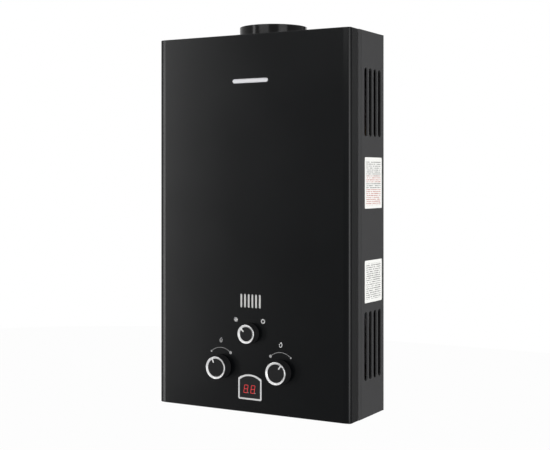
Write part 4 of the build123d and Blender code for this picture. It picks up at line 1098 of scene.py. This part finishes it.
class HEATER_OT_stage(bpy.types.Operator):
    """Set the floor, the soft lamps, the world and the camera"""

    bl_idname = "heater.stage"
    bl_label = "Stage"

    def execute(self, context):
        level = context.scene.heater_stage
        context.scene.view_settings.view_transform = "Standard"
        floor = sheet("studio_floor", *FLOOR_SIZE, FLOOR_CORNER, steps=12)
        settle(floor, (0.0, 0.0, level.floor_z))
        cover(floor, self.floor_paint())
        self.sky(context.scene, level.world_light)
        self.lamp("left_lamp", level.left_light, (41.5, 2.5, 0.5), (0.35, 2.6), roll=-11.0)
        self.lamp("left_strip", level.left_edge, (51.0, 2.5, -0.1), (0.7, 1.7), only="front_cover")
        self.lamp("right_strip", level.right_edge, (-41.0, 2.5, -0.1), (1.5, 1.7),
                  only="front_cover")
        self.lamp("right_lamp", level.right_light, (-61.0, 2.1, -0.05), (1.1, 1.3))
        self.lamp("front_lamp", level.front_light, (4.0, 2.8, 0.92), (1.7, 0.46))
        self.lamp("top_lamp", level.top_light, (20.0, 0.8, 2.1), (1.6, 1.2))
        self.lamp("rear_lamp", level.rear_light, (175.0, 2.4, 0.8), (1.6, 1.6))
        for name, side, width in (("right_flag", -155.0, 0.36), ("left_flag", 147.0, 0.4)):
            self.flag(name, (side, 1.6, 0.0), (width, 2.4))
        self.camera(context.scene, level.lens)
        return {"FINISHED"}

    def seen(self, finish):
        """1 for rays that show the background: from the camera, a gloss or through glass."""
        path = finish.node("ShaderNodeLightPath").socket.node
        ray = [Wire(finish, path.outputs[name])
               for name in ("Is Camera Ray", "Is Glossy Ray", "Is Transmission Ray")]
        return finish.reckon("ADD", ray[0] + ray[1], ray[2], use_clamp=True)

    def floor_paint(self):
        """A pale floor that looks white and keeps a soft shadow."""
        paint = Finish("studio_floor_paint")
        haze = paint.noise(3.0, 2.0)
        matt = paint.node("ShaderNodeBsdfDiffuse", {},
                          {"Color": paint.blend(haze, (0.86, 0.86, 0.86), (0.9, 0.9, 0.9))})
        white = paint.node("ShaderNodeEmission", {}, {"Color": WHITE, "Strength": 1.0})
        bright_share = 0.97
        both = paint.node("ShaderNodeMixShader", {},
                          {0: self.seen(paint) * bright_share, 1: matt, 2: white})
        paint.node("ShaderNodeOutputMaterial", {}, {"Surface": both})
        return paint.material

    def sky(self, scene, strength):
        """Even light from all round, shown as white."""
        world = bpy.data.worlds.new("studio_world")
        world.use_nodes = True
        scene.world = world
        air = Finish("studio_world", world.node_tree)
        shown = self.seen(air)
        light = air.node("ShaderNodeBackground", {},
                         {"Color": WHITE, "Strength": strength + (1.0 - strength) * shown})
        air.node("ShaderNodeOutputWorld", {}, {"Surface": light})

    def lamp(self, name, watts, where, size, roll=0.0, only=None):
        """A soft box turned to the heater, which may light one node only."""
        data = bpy.data.lights.new(name, "AREA")
        data.shape = "RECTANGLE"
        data.size, data.size_y = size
        data.energy = watts
        lamp = bpy.data.objects.new(name, data)
        bpy.context.scene.collection.objects.link(lamp)
        aim = middle("front_cover")
        lamp.location = round_the_front(where, aim.y)
        lamp.rotation_mode = "QUATERNION"
        facing = (aim - lamp.location).to_track_quat("-Z", "Y")
        lamp.rotation_quaternion = facing @ Quaternion((0.0, 0.0, 1.0), math.radians(roll))
        lamp.visible_camera = False
        if only:
            lit = bpy.data.collections.new(name + "_lights")
            lit.objects.link(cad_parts[only])
            lamp.light_linking.receiver_collection = lit
            lamp.visible_diffuse = False

    def flag(self, name, where, size):
        """A dark card behind the heater, out of the picture, that keeps its edges from glaring."""
        card = sheet(name, *size, corner=0.05)
        settle(card, round_the_front(where, 0.0),
               (math.pi / 2, 0.0, math.pi - math.radians(where[0])))
        cover(card, moulded_finish(name + "_cloth", (0.03, 0.03, 0.03), 0.9, 0.0, 900.0))
        card.visible_camera = False
        card.visible_shadow = False

    def camera(self, scene, lens):
        """The photograph's standpoint: level, to the right, near the middle height."""
        data = bpy.data.cameras.new("photo_camera")
        data.sensor_fit = "HORIZONTAL"
        data.sensor_width = CAMERA_SENSOR
        data.lens = lens
        data.shift_y = CAMERA_SHIFT
        camera = bpy.data.objects.new("photo_camera", data)
        scene.collection.objects.link(camera)
        camera.location = CAMERA_PLACE
        camera.rotation_euler = (math.pi / 2, 0.0, CAMERA_HEADING)
        scene.camera = camera


PIECES = (
    HEATER_OT_finishes,
    HEATER_OT_front_marks,
    HEATER_OT_display_digits,
    HEATER_OT_side_cards,
    HEATER_OT_badge,
    HEATER_OT_case_screws,
    HEATER_OT_valve_spring,
    HEATER_OT_stage,
)


class HEATER_PT_panel(bpy.types.Panel):
    """The heater's pieces, in the order they are made"""

    bl_idname = "HEATER_PT_panel"
    bl_label = "Heater"
    bl_space_type = "VIEW_3D"
    bl_region_type = "UI"
    bl_category = "Heater"

    def draw(self, context):
        for piece in PIECES:
            self.layout.operator(piece.bl_idname)
        for holder, group in SIZES.items():
            box = self.layout.box()
            for name in group.__annotations__:
                box.prop(getattr(context.scene, holder), name)


CLASSES = (*SIZES.values(), *PIECES, HEATER_PT_panel)


def register():
    for cls in CLASSES:
        bpy.utils.register_class(cls)
    for holder, group in SIZES.items():
        setattr(bpy.types.Scene, holder, PointerProperty(type=group))


def unregister():
    for holder in SIZES:
        delattr(bpy.types.Scene, holder)
    for cls in reversed(CLASSES):
        bpy.utils.unregister_class(cls)


def main():
    register()
    bpy.ops.heater.finishes()
    bpy.ops.heater.front_marks()
    bpy.ops.heater.display_digits()
    bpy.ops.heater.side_cards()
    bpy.ops.heater.badge()
    bpy.ops.heater.case_screws()
    bpy.ops.heater.valve_spring()
    bpy.ops.heater.stage()


if __name__ == "__main__":
    main()
